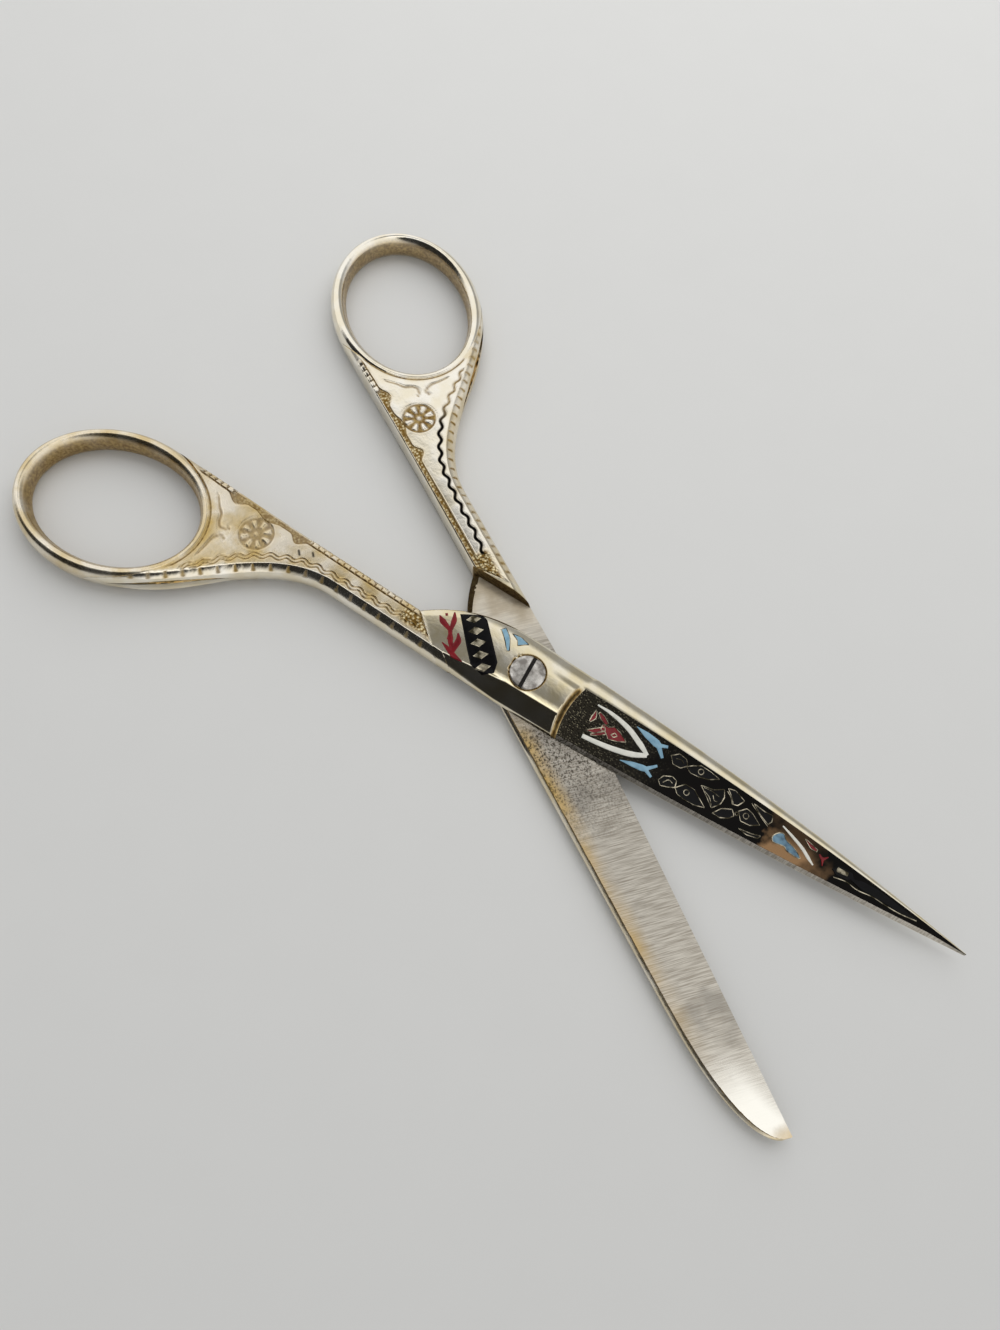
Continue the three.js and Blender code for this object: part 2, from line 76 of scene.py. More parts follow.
# The joint, where the halves cross
JOINT_THICK = 2.3
JOINT_SPINE = 5.3
JOINT_ROUND = np.array([2.8, 1.6])
JOINT_CROWN = 0.32
JOINT_BREAK = 0.5
ROLL_DEPTH = 0.1
ROLL_REACH = 4.2
ROLL_RUN = 1.4
RIDGE_SAG = 0.24
SAG_REACH = 3.8
SAG_FADE = 1.4
SPINE_ROUND = np.array([2.2, 0.9])
RAMP_FOOT = 18.3
RAMP_TOP = 2.0
RAMP_ANGLE = 43.0
RAMP_PULL = 6.0
CROWN_PULL = 7.0
SHOULDER_GAP = 0.3
SHOULDER_HEEL = 9.8
SHOULDER_DRAFT = 0.3

# Blades
POINT_LENGTH = 70.7
POINT_RISE = 0.74
POINT_HALF = 0.12
POINT_BACK_CURVE = 2.15
POINT_EDGE_CURVE = 1.4
BLUNT_LENGTH = 69.3
BLUNT_SPINE = 5.25
NOSE_RUN = 24.3
NOSE_DROP = 0.8
BLUNT_EDGE = 1.2
HEEL_DEPTH = 5.7
STEP_START = 6.7
STEP_RUN = 0.95
STEP_BOW = 0.7
STEP_MIDDLE = -0.9
STEP_HALF = 4.2
STEP_FADE = 4.0
EDGE_THICK = 0.12
BEVEL_WIDTH = 0.5
BEVEL_THICK = 0.5
GRIND_SLOPE = 0.173
FACET_WIDTH = 2.45
FACET_TIP = 0.13
FACET_DROP = 0.85
BACK_BREAK = np.array([0.5, 0.9])
BACK_SLOPE = 0.8
JOINT_LIP = 0.5
RIDGE_ROUND = 0.05
HOLLOW_DEPTH = 0.12

# Screw
SCREW_RADIUS = 1.7
HEAD_RADIUS = 2.6
HEAD_THICK = 1.1
HEAD_PROUD = 0.05
HEAD_CROWN = 0.25
SLOT_WIDTH = 0.5
SLOT_DEPTH = 0.4
SLOT_ANGLE = 110.0

# How many lines along and across a half
WEB_LINES = 172
SHANK_LINES = 76
RAMP_LINES = 46
FLAT_LINES = 56
STEP_LINES = 9
BLADE_LINES = 66
EDGE_ROWS = 24
MIDDLE_ROWS = 56
BLADE_CROWDING = 1.35
RIM_LINES = 144
RIM_ROWS = 28
PATH_STEPS = 90


def mix(a, b, t):
    return a + (b - a) * t


def places(x, y):
    """Places in the plane from their x and their y, either of which may be one number for all."""
    return np.stack(np.broadcast_arrays(x, y), axis=-1)


def raised(place, height):
    """Points from places and their heights."""
    return np.concatenate([place, np.broadcast_to(height, place.shape[:-1])[..., None]], axis=-1)


def around(count):
    """Angles at even steps once round."""
    return 2 * np.pi * np.arange(count) / count


def drawn_in(outline, shares):
    """Rings of an outline, each drawn in to the middle by its share."""
    middle = outline.mean(axis=0)
    return middle + shares[:, None, None] * (outline - middle)


def ease(t):
    """A smooth rise from 0 to 1: 3 t squared less 2 t cubed."""
    t = np.clip(t, 0, 1)
    return t * t * (3 - 2 * t)


def hump(distance, half):
    """A round hump, 1 at no distance and 0 from half on: half of one plus a cosine."""
    return 0.5 + 0.5 * np.cos(np.pi * np.clip(distance / half, -1, 1))


def round_off(distance, width, depth):
    """Depth below the flat of a quarter-round edge, at a distance in from that edge."""
    t = np.minimum(distance / width, 1)
    return depth * (1 - np.sqrt(1 - (1 - t) ** 2))


def ridge_off(distance, width, depth, break_share):
    """Depth below the flat of an edge that starts with a break: part straight slope, part quarter round."""
    slope = depth * (1 - np.minimum(distance / width, 1))
    return mix(round_off(distance, width, depth), slope, break_share)


def bezier(points, t):
    """A cubic curve through its first and last point, drawn towards the two between."""
    t = np.asarray(t)[:, None]
    a, b, c, d = np.asarray(points, float)
    return a * (1 - t) ** 3 + 3 * b * t * (1 - t) ** 2 + 3 * c * t**2 * (1 - t) + d * t**3


def path_length(path):
    """Length along a path up to each of its points."""
    return np.concatenate([[0], np.cumsum(np.hypot(*np.diff(path, axis=0).T))])


def points_at(path, at):
    """Points of a path at given lengths along it."""
    length = path_length(path)
    return places(*(np.interp(at, length, column) for column in path.T))


def even_curve(points, count):
    """Points at even steps along a cubic curve, from its start to one step before its end."""
    path = bezier(points, np.linspace(0, 1, 4 * PATH_STEPS))
    return points_at(path, path_length(path)[-1] * np.arange(count) / count)


def smooth_path(points, count, is_closed=False):
    """A smooth curve through all the points: a Catmull-Rom spline, with open ends carried straight on."""
    p = np.asarray(points, float)
    before, after = (p[-1:], p[:2]) if is_closed else ([2 * p[0] - p[1]], [2 * p[-1] - p[-2]])
    p = np.vstack([before, p, after])
    s = np.linspace(0, len(p) - 3, count, endpoint=not is_closed)
    i = np.minimum(s.astype(int), len(p) - 4)
    t = (s - i)[:, None]
    a, b, c, d = p[i], p[i + 1], p[i + 2], p[i + 3]
    return b + 0.5 * t * (c - a + t * (2 * a - 5 * b + 4 * c - d + t * (3 * (b - c) + d - a)))


def side_of(path, is_closed=False):
    """The unit normal to the left at each point of a path."""
    run = np.roll(path, -1, axis=0) - np.roll(path, 1, axis=0) if is_closed else np.gradient(path, axis=0)
    run = run / np.linalg.norm(run, axis=1, keepdims=True)
    return places(-run[:, 1], run[:, 0])


def near_path(path, x, y):
    """Distance from each place to a path, and the length along the path of the nearest point."""
    best = np.full(x.shape, np.inf)
    along = np.zeros(x.shape)
    for p, q, start in zip(path[:-1], path[1:], path_length(path)):
        run = q - p
        length = np.hypot(*run)
        t = np.clip(((x - p[0]) * run[0] + (y - p[1]) * run[1]) / length**2, 0, 1)
        gap = np.hypot(x - p[0] - t * run[0], y - p[1] - t * run[1])
        closer = gap < best
        best = np.where(closer, gap, best)
        along = np.where(closer, start + t * length, along)
    return best, along


def heading(length, angle):
    return length * np.array([math.cos(math.radians(angle)), math.sin(math.radians(angle))])


def axes(angle):
    """Unit vectors along a direction and to the left of it, as rows."""
    c, s = heading(1, angle)
    return np.array([[c, s], [-s, c]])


# The bow: an ellipse whose rim just clears the other bow when the scissors are shut
BOW_AXES = axes(BOW_TILT)
BOW_HALF = np.hypot(BOW_LONG * BOW_AXES[0], BOW_SHORT * BOW_AXES[1]) + RIM_WIDTH / 2
BOW_CENTRE = np.array([BOW_HALF[0] - BOW_REACH, -BOW_HALF[1] - BOW_GAP / 2])


def bow_point(angle, out):
    """A point of the bow at an angle of its ellipse, moved out from the middle of the rim."""
    return BOW_CENTRE + places((BOW_LONG + out) * np.cos(angle), (BOW_SHORT + out) * np.sin(angle)) @ BOW_AXES


def bow_angle(direction):
    """The angle of the ellipse where its outer edge heads in a direction."""
    local = math.radians(direction - BOW_TILT)
    out = RIM_WIDTH / 2
    return math.atan2(-math.cos(local) / (BOW_LONG + out), math.sin(local) / (BOW_SHORT + out))


def bow_distance(x, y):
    """Distance out from the middle of the rim: how far the ellipse's level is from 1, over its slope."""
    long, short = np.moveaxis((places(x, y) - BOW_CENTRE) @ BOW_AXES.T, -1, 0)
    level = np.hypot(long / BOW_LONG, short / BOW_SHORT)
    slope = np.hypot(long / BOW_LONG**2, short / BOW_SHORT**2) / level
    return (level - 1) / slope


# Edges of the handle, which leave the bow along its outline, and the ramp from the shank to the blade's back
TOP_ANGLE = bow_angle(180)
FLANK_START = bow_angle(FLANK_ANGLE)
BOW_TOP = bow_point(TOP_ANGLE, RIM_WIDTH / 2)
BOW_FOOT = bow_point(FLANK_START, RIM_WIDTH / 2)
SHANK_EDGE = -SHANK_GAP / 2
FLANK = [
    BOW_FOOT,
    BOW_FOOT + heading(FLANK_PULL, FLANK_ANGLE),
    (-SHANK_NECK - NECK_PULL, -SHANK_BACK),
    (-SHANK_NECK, -SHANK_BACK),
]
THROAT = [
    BOW_TOP,
    BOW_TOP + heading(THROAT_START, 0),
    (-SHANK_NECK - THROAT_PULL, SHANK_EDGE),
    (-SHANK_NECK, SHANK_EDGE),
]
RAMP_START = np.array([-RAMP_FOOT, SHANK_EDGE])
RAMP = [
    RAMP_START,
    RAMP_START + heading(RAMP_PULL, RAMP_ANGLE),
    (-RAMP_TOP - CROWN_PULL, JOINT_SPINE),
    (-RAMP_TOP, JOINT_SPINE),
]
GRIND_START = STEP_START + STEP_RUN

# The same edges as whole paths, from some way back along the bow's outline to the pivot
EDGE_LEAD = np.linspace(1, 0, PATH_STEPS // 3, endpoint=False)
ALL_ALONG = np.linspace(0, 1, PATH_STEPS)
INNER_EDGE = np.vstack([
    bow_point(TOP_ANGLE + EDGE_LEAD, RIM_WIDTH / 2), bezier(THROAT, ALL_ALONG), [(0, SHANK_EDGE)],
])
OUTER_EDGE = np.vstack([
    bow_point(FLANK_START - EDGE_LEAD, RIM_WIDTH / 2), bezier(FLANK, ALL_ALONG), [(0, -SHANK_BACK)],
])


class PointedBlade:
    """The front blade, which tapers on both sides to a sharp point."""

    length = POINT_LENGTH

    def back(self, x):
        return mix(JOINT_SPINE, POINT_RISE + POINT_HALF, (x / self.length) ** POINT_BACK_CURVE)

    def edge(self, x):
        return mix(-HEEL_DEPTH, POINT_RISE - POINT_HALF, (x / self.length) ** POINT_EDGE_CURVE)


class BluntBlade:
    """The back blade, whose straight back is rounded down to a short nose."""

    length = BLUNT_LENGTH

    def back(self, x):
        t = np.clip(1 - (self.length - x) / NOSE_RUN, 0, 1)
        straight = mix(JOINT_SPINE, BLUNT_SPINE, x / self.length)
        return mix(-NOSE_DROP, straight, np.sqrt(1 - t**3))

    def edge(self, x):
        return mix(-HEEL_DEPTH, -BLUNT_EDGE, x / self.length)


def ground_height(blade, x, y):
    """Height of the plane of a blade's ground face, which rises from the cutting edge to the ridge."""
    heel = np.array([GRIND_START, blade.edge(GRIND_START)])
    run = np.array([blade.length, blade.edge(blade.length)]) - heel
    run /= np.hypot(*run)
    return BEVEL_THICK + GRIND_SLOPE * ((y - heel[1]) * run[0] - (x - heel[0]) * run[1])


# Where a cross line is narrow, its edge zones keep to this share of it
ZONE_LIMIT = 0.85
ROWS = np.concatenate([
    np.linspace(0, 1, EDGE_ROWS, endpoint=False),
    np.linspace(1, 2, MIDDLE_ROWS, endpoint=False),
    np.linspace(2, 3, EDGE_ROWS),
])
INNER_ZONE = 2.4
OUTER_ZONE = 2.6


def cross_lines(inner, outer, inner_zone, outer_zone):
    """Points on lines from the inner to the outer edge, close together in a zone beside either edge.

    Returns x, y, the share of the way across, and the distances from either edge, as lines by rows.
    """
    width = (inner[:, 1] - outer[:, 1])[:, None]
    fit = np.minimum(1, ZONE_LIMIT * width / (inner_zone + outer_zone))
    near = inner_zone * fit / width
    far = 1 - outer_zone * fit / width
    outside = np.where(ROWS < 1, near * ROWS, mix(far, 1, ROWS - 2))
    v = np.where((ROWS >= 1) & (ROWS < 2), mix(near, far, ROWS - 1), outside)
    point = inner[:, None] + v[..., None] * (outer - inner)[:, None]
    return point[..., 0], point[..., 1], v, v * width, (1 - v) * width


RIM_ROUND = np.array([RIM_WIDTH / 2, RIM_HEIGHT / 2 - WEB_SINK - WEB_EDGE / 2])
BEND_FADE = 1.5
EDGE_BLEND = 0.4


def edge_fall(v, inset, outset, inner_round, outer_round, break_share, crown):
    """How far a face falls: by a round at its inner edge, a ridge at its outer edge and a crown between."""
    fall = round_off(inset, inner_round[:, :1], inner_round[:, 1:])
    fall = fall + ridge_off(outset, outer_round[:, :1], outer_round[:, 1:], break_share)
    return fall + crown * (2 * v - 1) ** 2


def web_lines():
    """The handle from the rim to the neck of the shank, on cross lines that start bent round the hole."""
    inner, outer = even_curve(THROAT, WEB_LINES), even_curve(FLANK, WEB_LINES)
    x, y, v, _, _ = cross_lines(inner, outer, INNER_ZONE, OUTER_ZONE)
    share = (np.arange(WEB_LINES) / WEB_LINES)[:, None]
    fade = (1 - share) ** BEND_FADE
    curve = bow_point(mix(TOP_ANGLE, FLANK_START, v), (RIM_WIDTH / 2) * (1 - np.sin(np.pi * v)))
    bend = curve - mix(BOW_TOP, BOW_FOOT, v[..., None])
    x = x + fade * bend[..., 0]
    y = y + fade * bend[..., 1]
    inset, _ = near_path(INNER_EDGE, x, y)
    outset, _ = near_path(OUTER_EDGE, x, y)
    blend = np.minimum(1, share / EDGE_BLEND)
    inner_round = mix(RIM_ROUND, SHANK_BREAK, blend)
    outer_round = mix(RIM_ROUND, FLANK_FORM, blend)
    fall = edge_fall(v, inset, outset, inner_round, outer_round, RIDGE_BREAK * blend, HANDLE_CROWN * blend)
    height = RIM_HEIGHT / 2 - WEB_SINK * fade - fall
    return x, y, height, -height, inset


def joint_face(x, v, inset, outset, share):
    """Height of the crowned outer face, from the shank at share 0 to the joint at share 1.

    Both edges fall by their rounds, the crown by the square of the distance from the middle, the roll above
    the flank by the square of the way into it, and beside the back the joint sinks to the blade's ridge.
    """
    inner_round = mix(SHANK_BREAK, SPINE_ROUND, share)
    outer_round = mix(FLANK_FORM, JOINT_ROUND, share)
    break_share = mix(RIDGE_BREAK, JOINT_BREAK, share)
    crown = mix(HANDLE_CROWN, JOINT_CROWN, share)
    fall = edge_fall(v, inset, outset, inner_round, outer_round, break_share, crown)
    fall = fall + ROLL_DEPTH * share * np.clip((ROLL_REACH - outset) / ROLL_RUN, 0, 1) ** 2
    fall = fall + RIDGE_SAG * ease(x / STEP_START) * ease((SAG_REACH - inset) / SAG_FADE)
    return mix(RIM_HEIGHT / 2, JOINT_THICK, share) - fall


def joint_lines(inner, outer, share, is_full):
    """The shank where it is full, and the joint, which is only the half above the rubbing face."""
    x, y, v, inset, outset = cross_lines(inner, outer, INNER_ZONE, OUTER_ZONE)
    height = joint_face(x, v, inset, outset, share[:, None])
    under = -height if is_full else RUB_GAP / 2 + ridge_off(inset, BACK_BREAK[0], JOINT_LIP, BACK_SLOPE)
    return x, y, height, under, inset


def shank_and_joint(blade):
    """The shank, the slanted shoulder, the ramp and the crowned flat over the pivot."""
    shoulder = -(RAMP_FOOT + SHOULDER_GAP)
    t = np.linspace(0, 1, SHANK_LINES)
    inner = places(mix(-SHANK_NECK, shoulder, t), SHANK_EDGE)
    outer = places(mix(-SHANK_NECK, -SHOULDER_HEEL, t), -SHANK_BACK)
    shank = joint_lines(inner, outer, 0 * t, True)
    draft = [SHOULDER_DRAFT, 0]
    foot = joint_lines(inner[-1:] + draft, outer[-1:] + draft, t[:1], False)
    t = np.linspace(0, 1, RAMP_LINES + 1)[1:]
    outer = places(mix(-SHOULDER_HEEL, -RAMP_TOP, t), -SHANK_BACK)
    ramp = joint_lines(bezier(RAMP, t), outer, t, False)
    x = np.linspace(-RAMP_TOP, STEP_START, FLAT_LINES + 1)[1:]
    over = np.maximum(x, RAMP_TOP)
    grown = np.minimum(1, (x + RAMP_TOP) / (2 * RAMP_TOP))
    inner = places(x, mix(JOINT_SPINE, blade.back(over), grown))
    outer = places(x, mix(-SHANK_BACK, blade.edge(over), grown))
    flat = joint_lines(inner, outer, np.ones_like(x), False)
    return [shank, foot, ramp, flat]


FACET_LIMIT = 0.4
BEVEL_LIMIT = 0.3
HOLLOW_BLEND = 1 / 4


def blade_lines(blade):
    """The step down from the joint, then the ground face between the back's round and the edge's bevel."""
    t = np.linspace(0, 1, BLADE_LINES)
    step = np.linspace(STEP_START, GRIND_START, STEP_LINES, endpoint=False)[1:]
    x = np.concatenate([step, mix(GRIND_START, blade.length, 1 - (1 - t) ** BLADE_CROWDING)])
    inner = places(x, blade.back(x))
    outer = places(x, blade.edge(x))
    width = inner[:, 1] - outer[:, 1]
    left = np.clip((blade.length - x) / (blade.length - GRIND_START), 0, 1)
    facet = np.minimum(mix(FACET_TIP, FACET_WIDTH, left), FACET_LIMIT * width)[:, None]
    bevel = np.minimum(BEVEL_WIDTH, BEVEL_LIMIT * width)[:, None]
    x, y, v, inset, outset = cross_lines(inner, outer, facet, bevel)
    ground = ground_height(blade, x, y)
    ridge = ground_height(blade, inner[:, :1], inner[:, 1:] - facet)
    spine = ridge - round_off(inset, facet, FACET_DROP * ridge / JOINT_THICK)
    soft = RIDGE_ROUND * left[:, None]
    face = (spine + ground - np.sqrt((spine - ground) ** 2 + soft**2)) / 2
    top = np.where(outset < bevel, mix(EDGE_THICK, ground, outset / bevel), face)
    joint = joint_face(x, v, inset, outset, np.ones_like(facet))
    down = ease((x - STEP_START) / STEP_RUN)
    grown = np.clip((x - GRIND_START) / (HOLLOW_BLEND * (blade.length - GRIND_START)), 0, 1)
    under = RUB_GAP / 2 + HOLLOW_DEPTH * grown * left[:, None] * np.sin(np.pi * v)
    back_width = np.minimum(BACK_BREAK[0], FACET_LIMIT * width)[:, None]
    back_depth = mix(JOINT_LIP, BACK_BREAK[1] * ridge / JOINT_THICK, ease((x - STEP_START) / STEP_FADE))
    back_fall = ridge_off(inset, back_width, back_depth, BACK_SLOPE)
    return x, y, mix(joint, top, down), under + back_fall, inset


# Carving on a handle: where it ends, on a slant, how soft its edges are, and how soon wear sets in past it
END_PLACE = np.array([-19.0, -0.3])
END_SLANT = 1.23
END_LINE = 0.24
EDGE_SOFT = 0.2
WEAR_RUN = 0.5


def past(value, edge, soft=EDGE_SOFT):
    """Eases from 0 where a value reaches an edge to 1 at a soft width past it."""
    return ease((value - edge) / soft)


# The border along the inner edge: square beads in a channel, and a grainy band with lobes beside the bow
BEAD_PITCH = 1.15
BEAD_LINE = 0.46
BEAD_HALF = np.array([0.5, 0.44])
BEAD_FIRM = 2.0
BEAD_RISE = 0.2
BEAD_START = -37.8
BEAD_STOP = -52.0
BORDER_START = -59.5
BORDER_FADE = 1.5
BORDER_WIDTH = 0.9
BORDER_LIP = 0.2
LOBES = [(-51.0, 2.1, 0.95), (-45.3, 2.4, 0.6), (-39.5, 1.7, 1.0)]
CHANNEL_DEPTH = 0.12
LINE_HALF = 0.2
LINE_DEPTH = 0.1
LINE_SPREAD = 15.0
# How brown the border's ground and line are, and how grainy it is, on the back and the front half
BORDER_TONES = [(1.0, 1.35, 0.9), (0.8, 1.2, 0.35)]

# The rosette on the web, with how brown it is on the back and the front half
ROSETTE_PLACE = np.array([-45.1, -4.8])
ROSETTE_RADIUS = 2.75
ROSETTE_PETALS = 8
ROSETTE_DEPTH = 0.16
ROSETTE_BROWN = (1.0, 0.7)
ROSETTE_EYE = 0.6
PETAL_START = 0.8
PETAL_RUN = 0.6
PETAL_RIM = 0.3
RAY_GAIN = 0.9
RAY_SHIFT = 0.4

# Lines: the groove round the hole, two scrolls under it, and the wavy line beside the ridge, which is double
# on the front half and inked on the back half
GROOVE_OUT = 0.6
GROOVE_HALF = 0.26
GROOVE_ENDS = (-16.4, -1.3)
SCROLLS = [
    [(-53.6, -3.0), (-52.3, -4.4), (-51.3, -5.2), (-50.8, -6.4), (-50.0, -7.0), (-49.3, -6.8), (-48.8, -6.4)],
    [(-50.0, -12.1), (-49.9, -10.6), (-49.9, -9.3), (-49.5, -8.3), (-49.0, -8.0), (-48.4, -8.2)],
]
SCROLL_HALF = (0.26, 0.42)
SCROLL_SWELL = 4.0
SCROLL_BROWN = 0.75
WAVE = [
    (-50.3, -15.1), (-48.6, -13.2), (-46.6, -10.9), (-44.4, -8.8), (-42.0, -7.0), (-39.6, -5.7),
    (-36.5, -4.4), (-33.4, -3.9), (-28.4, -3.55), (-23.5, -3.45), (-19.6, -3.1), (-17.2, -3.3),
]
WAVE_PITCH = 2.4
WAVE_SWING = 0.25
WAVE_STEPS = 200
WAVE_TWIN = 0.26
WAVE_FINE = 0.18
INK_HALF = 0.34
INK_FIRM = 2.0
INK_START = -46.5
INK_FADE = 4.0
INK_END = -19.4

# Notches filed across the flank, with pairs for the back and the front half, and two marks of a square punch
NOTCH_PITCH = (1.6, 2.5)
NOTCH_TOP = 1.35
NOTCH_FOOT = 0.35
NOTCH_NARROW = 0.16
NOTCH_WIDE = (0.34, 0.46)
NOTCH_DEPTH = 0.04
NOTCH_FIRM = 2.0
NOTCH_BROWN = (0.85, 0.6)
NOTCH_START = -58.0
NOTCH_CLEAR = 1.0
PUNCH_MARKS = [[(-38.3, -3.4), (-37.8, -3.9)], [(-36.4, -2.5), (-36.0, -2.9)]]
PUNCH_HALF = 0.3

# Brown haze of the back and the front handle: beside the cuts, how far from them, all over, and on the flank
HAZE = [(0.25, 0.7, 0.0), (0.5, 1.3, 0.55)]
FLANK_HAZE = (0.4, 0.12)

# The stippled corner at the end of the shank
STIPPLE_START = -20.6
STIPPLE_TOP = -1.6
STIPPLE_RIDGE = 1.5


def past_end(x, y):
    """Distance along x past the slanted end of the handle's ornament."""
    return x - END_PLACE[0] + END_SLANT * (y - END_PLACE[1])


def border_reach(x):
    """Width of the border, which swells at its lobes."""
    return BORDER_WIDTH + sum(swell * hump(x - place, half) for place, half, swell in LOBES)


def border_carving(x, inset, is_front):
    """Heights, browning and grain of the border: beads or grain in a channel.

    The back half has beads only beside the bow. Each bead is a square with firm sides, from fourth powers.
    """
    reach = border_reach(x)
    is_border = past(x, BORDER_START, BORDER_FADE)
    inside = past(reach, inset) * past(inset, BORDER_LIP) * is_border
    spread = 1 if is_front else 1 + past(x, LOBES[-1][0], LINE_SPREAD)
    line = hump(inset - reach, LINE_HALF * spread) * is_border
    along = (x - BEAD_PITCH * np.round(x / BEAD_PITCH)) / BEAD_HALF[0]
    across = (inset - BEAD_LINE) / BEAD_HALF[1]
    square = np.clip(BEAD_FIRM * (1 - along**4), 0, 1) * np.clip(BEAD_FIRM * (1 - across**4), 0, 1)
    is_beaded = np.maximum(past(x, BEAD_START) * is_front, past(BEAD_STOP, x))
    bead = square * is_beaded * is_border
    relief = BEAD_RISE * bead - CHANNEL_DEPTH * inside - LINE_DEPTH * line
    ground_brown, line_brown, grain = BORDER_TONES[is_front]
    recess = np.maximum(ground_brown * inside * (1 - bead), line_brown * line)
    return relief, recess, grain * inside * (1 - is_beaded)


def rosette_carving(x, y):
    """Heights and browning of the rosette: a sunk disc, and wedge petals by a cosine of the angle."""
    radius = np.hypot(x - ROSETTE_PLACE[0], y - ROSETTE_PLACE[1])
    angle = np.arctan2(y - ROSETTE_PLACE[1], x - ROSETTE_PLACE[0])
    disc = past(ROSETTE_RADIUS, radius)
    ray = np.clip(RAY_GAIN * np.cos(ROSETTE_PETALS * angle) + RAY_SHIFT, 0, 1)
    petal = ray * past(radius, PETAL_START, PETAL_RUN) * past(ROSETTE_RADIUS - PETAL_RIM, radius, PETAL_RIM)
    high = np.maximum(petal, hump(radius, ROSETTE_EYE))
    return ROSETTE_DEPTH * disc * (high - 1), disc * (1 - high)


def wave_path():
    """The wavy line beside the ridge: a curve swung from side to side by a sine of its length."""
    path = smooth_path(WAVE, WAVE_STEPS)
    swing = WAVE_SWING * np.sin(2 * np.pi * path_length(path) / WAVE_PITCH)
    return path + swing[:, None] * side_of(path)


def notch_carving(x, y, outset, along, is_front):
    """Depth share of the notches: cuts across the flank that widen to its foot, more so on the front half."""
    down = np.clip((NOTCH_TOP - outset) / (NOTCH_TOP - NOTCH_FOOT), 0, 1)
    half = mix(NOTCH_NARROW, NOTCH_WIDE[is_front], down)
    pitch = NOTCH_PITCH[is_front]
    offset = np.abs(along - pitch * np.round(along / pitch))
    is_flank = past(NOTCH_TOP, outset) * past(outset, NOTCH_FOOT)
    is_notched = past(x, NOTCH_START, 1) * past(-past_end(x, y), NOTCH_CLEAR, 1)
    return np.clip(1 - offset / half, 0, 1) * is_flank * is_notched


def handle_carving(x, y, inset, is_front):
    """Heights cut into both faces of a handle, with how brown, inked and grainy each place is."""
    is_handle = past(-past_end(x, y), 0)
    relief, recess, grain = border_carving(x, inset, is_front)
    sunk, brown = rosette_carving(x, y)
    gap, _ = near_path(wave_path(), x, y)
    outset, along = near_path(OUTER_EDGE, x, y)
    groove = bow_distance(x, y) - GROOVE_OUT
    rosette = np.hypot(x - ROSETTE_PLACE[0], y - ROSETTE_PLACE[1]) - ROSETTE_RADIUS
    halo = np.min(np.abs([gap, groove, rosette, inset - border_reach(x)]), axis=0)
    halo_brown, halo_reach, all_over = HAZE[is_front]
    web_haze = mix(halo_brown * hump(halo, halo_reach), 1, all_over)
    patina = mix(FLANK_HAZE[is_front], web_haze, past(outset, FLANK_FORM[0]))
    if is_front:
        line = hump(np.abs(gap - WAVE_TWIN), WAVE_FINE)
        ink = np.max([hump(near_path(np.array(mark), x, y)[0], PUNCH_HALF) for mark in PUNCH_MARKS], axis=0)
    else:
        line = hump(gap, INK_HALF)
        ink = ease(INK_FIRM * (1 - gap / INK_HALF)) * past(x, INK_START, INK_FADE) * past(INK_END, x)
    for scroll in SCROLLS:
        gap, length = near_path(smooth_path(scroll, PATH_STEPS // 3), x, y)
        half = mix(*SCROLL_HALF, hump(length - SCROLL_SWELL, SCROLL_SWELL))
        line = np.maximum(line, SCROLL_BROWN * hump(gap, half))
    is_groove = past(y, GROOVE_ENDS[0]) * past(GROOVE_ENDS[1], y)
    line = np.maximum(line, hump(groove, GROOVE_HALF) * is_groove)
    notch = notch_carving(x, y, outset, along, is_front)
    filed = np.minimum(1, NOTCH_FIRM * notch)
    is_flat = past(y, STIPPLE_RIDGE - SHANK_BACK, 1)
    corner = past(x, STIPPLE_START, 1) * past(STIPPLE_TOP, y) * is_flat
    end = hump(past_end(x, y), END_LINE) * is_flat
    recess = np.max([recess, ROSETTE_BROWN[is_front] * brown, line], axis=0) * is_handle
    return {
        "relief": (relief + sunk - LINE_DEPTH * line) * is_handle - NOTCH_DEPTH * notch - LINE_DEPTH * end,
        "recess": np.max([recess, NOTCH_BROWN[is_front] * filed, GRIME_AND_SHADE_DARK * end], axis=0),
        "ink": ink * is_handle,
        "patina": np.maximum(patina, filed) * is_handle,
        "grain": np.maximum(grain, corner) * is_handle,
    }


# Round the screw: the well under its head, a dark ring partly of oil and dust and partly painted shade where
# the screw meets the face, and a shallow seat for its filed end
WELL_DEPTH = 0.35
WELL_EDGE = 0.16
RING_HALF = 0.22
GRIME_AND_SHADE_DARK = 1.7
SEAT_DEPTH = 0.06
SEAT_EDGE = 0.2

# Dull dark places: painted shade on the shoulder's wall, darkest at its foot, and on the wall of the step,
# and a dark brown line along the backs' lower edges
SHOULDER_PAINTED_SHADE = (1.1, 1.4)
STEP_WALL_PAINTED_SHADE = 1.45
STEP_WALL = (0.6, 0.8)
EDGE_BROWN = 1.5
CREASE_HALF = 0.14
BACK_EDGE_HAZE = 0.35


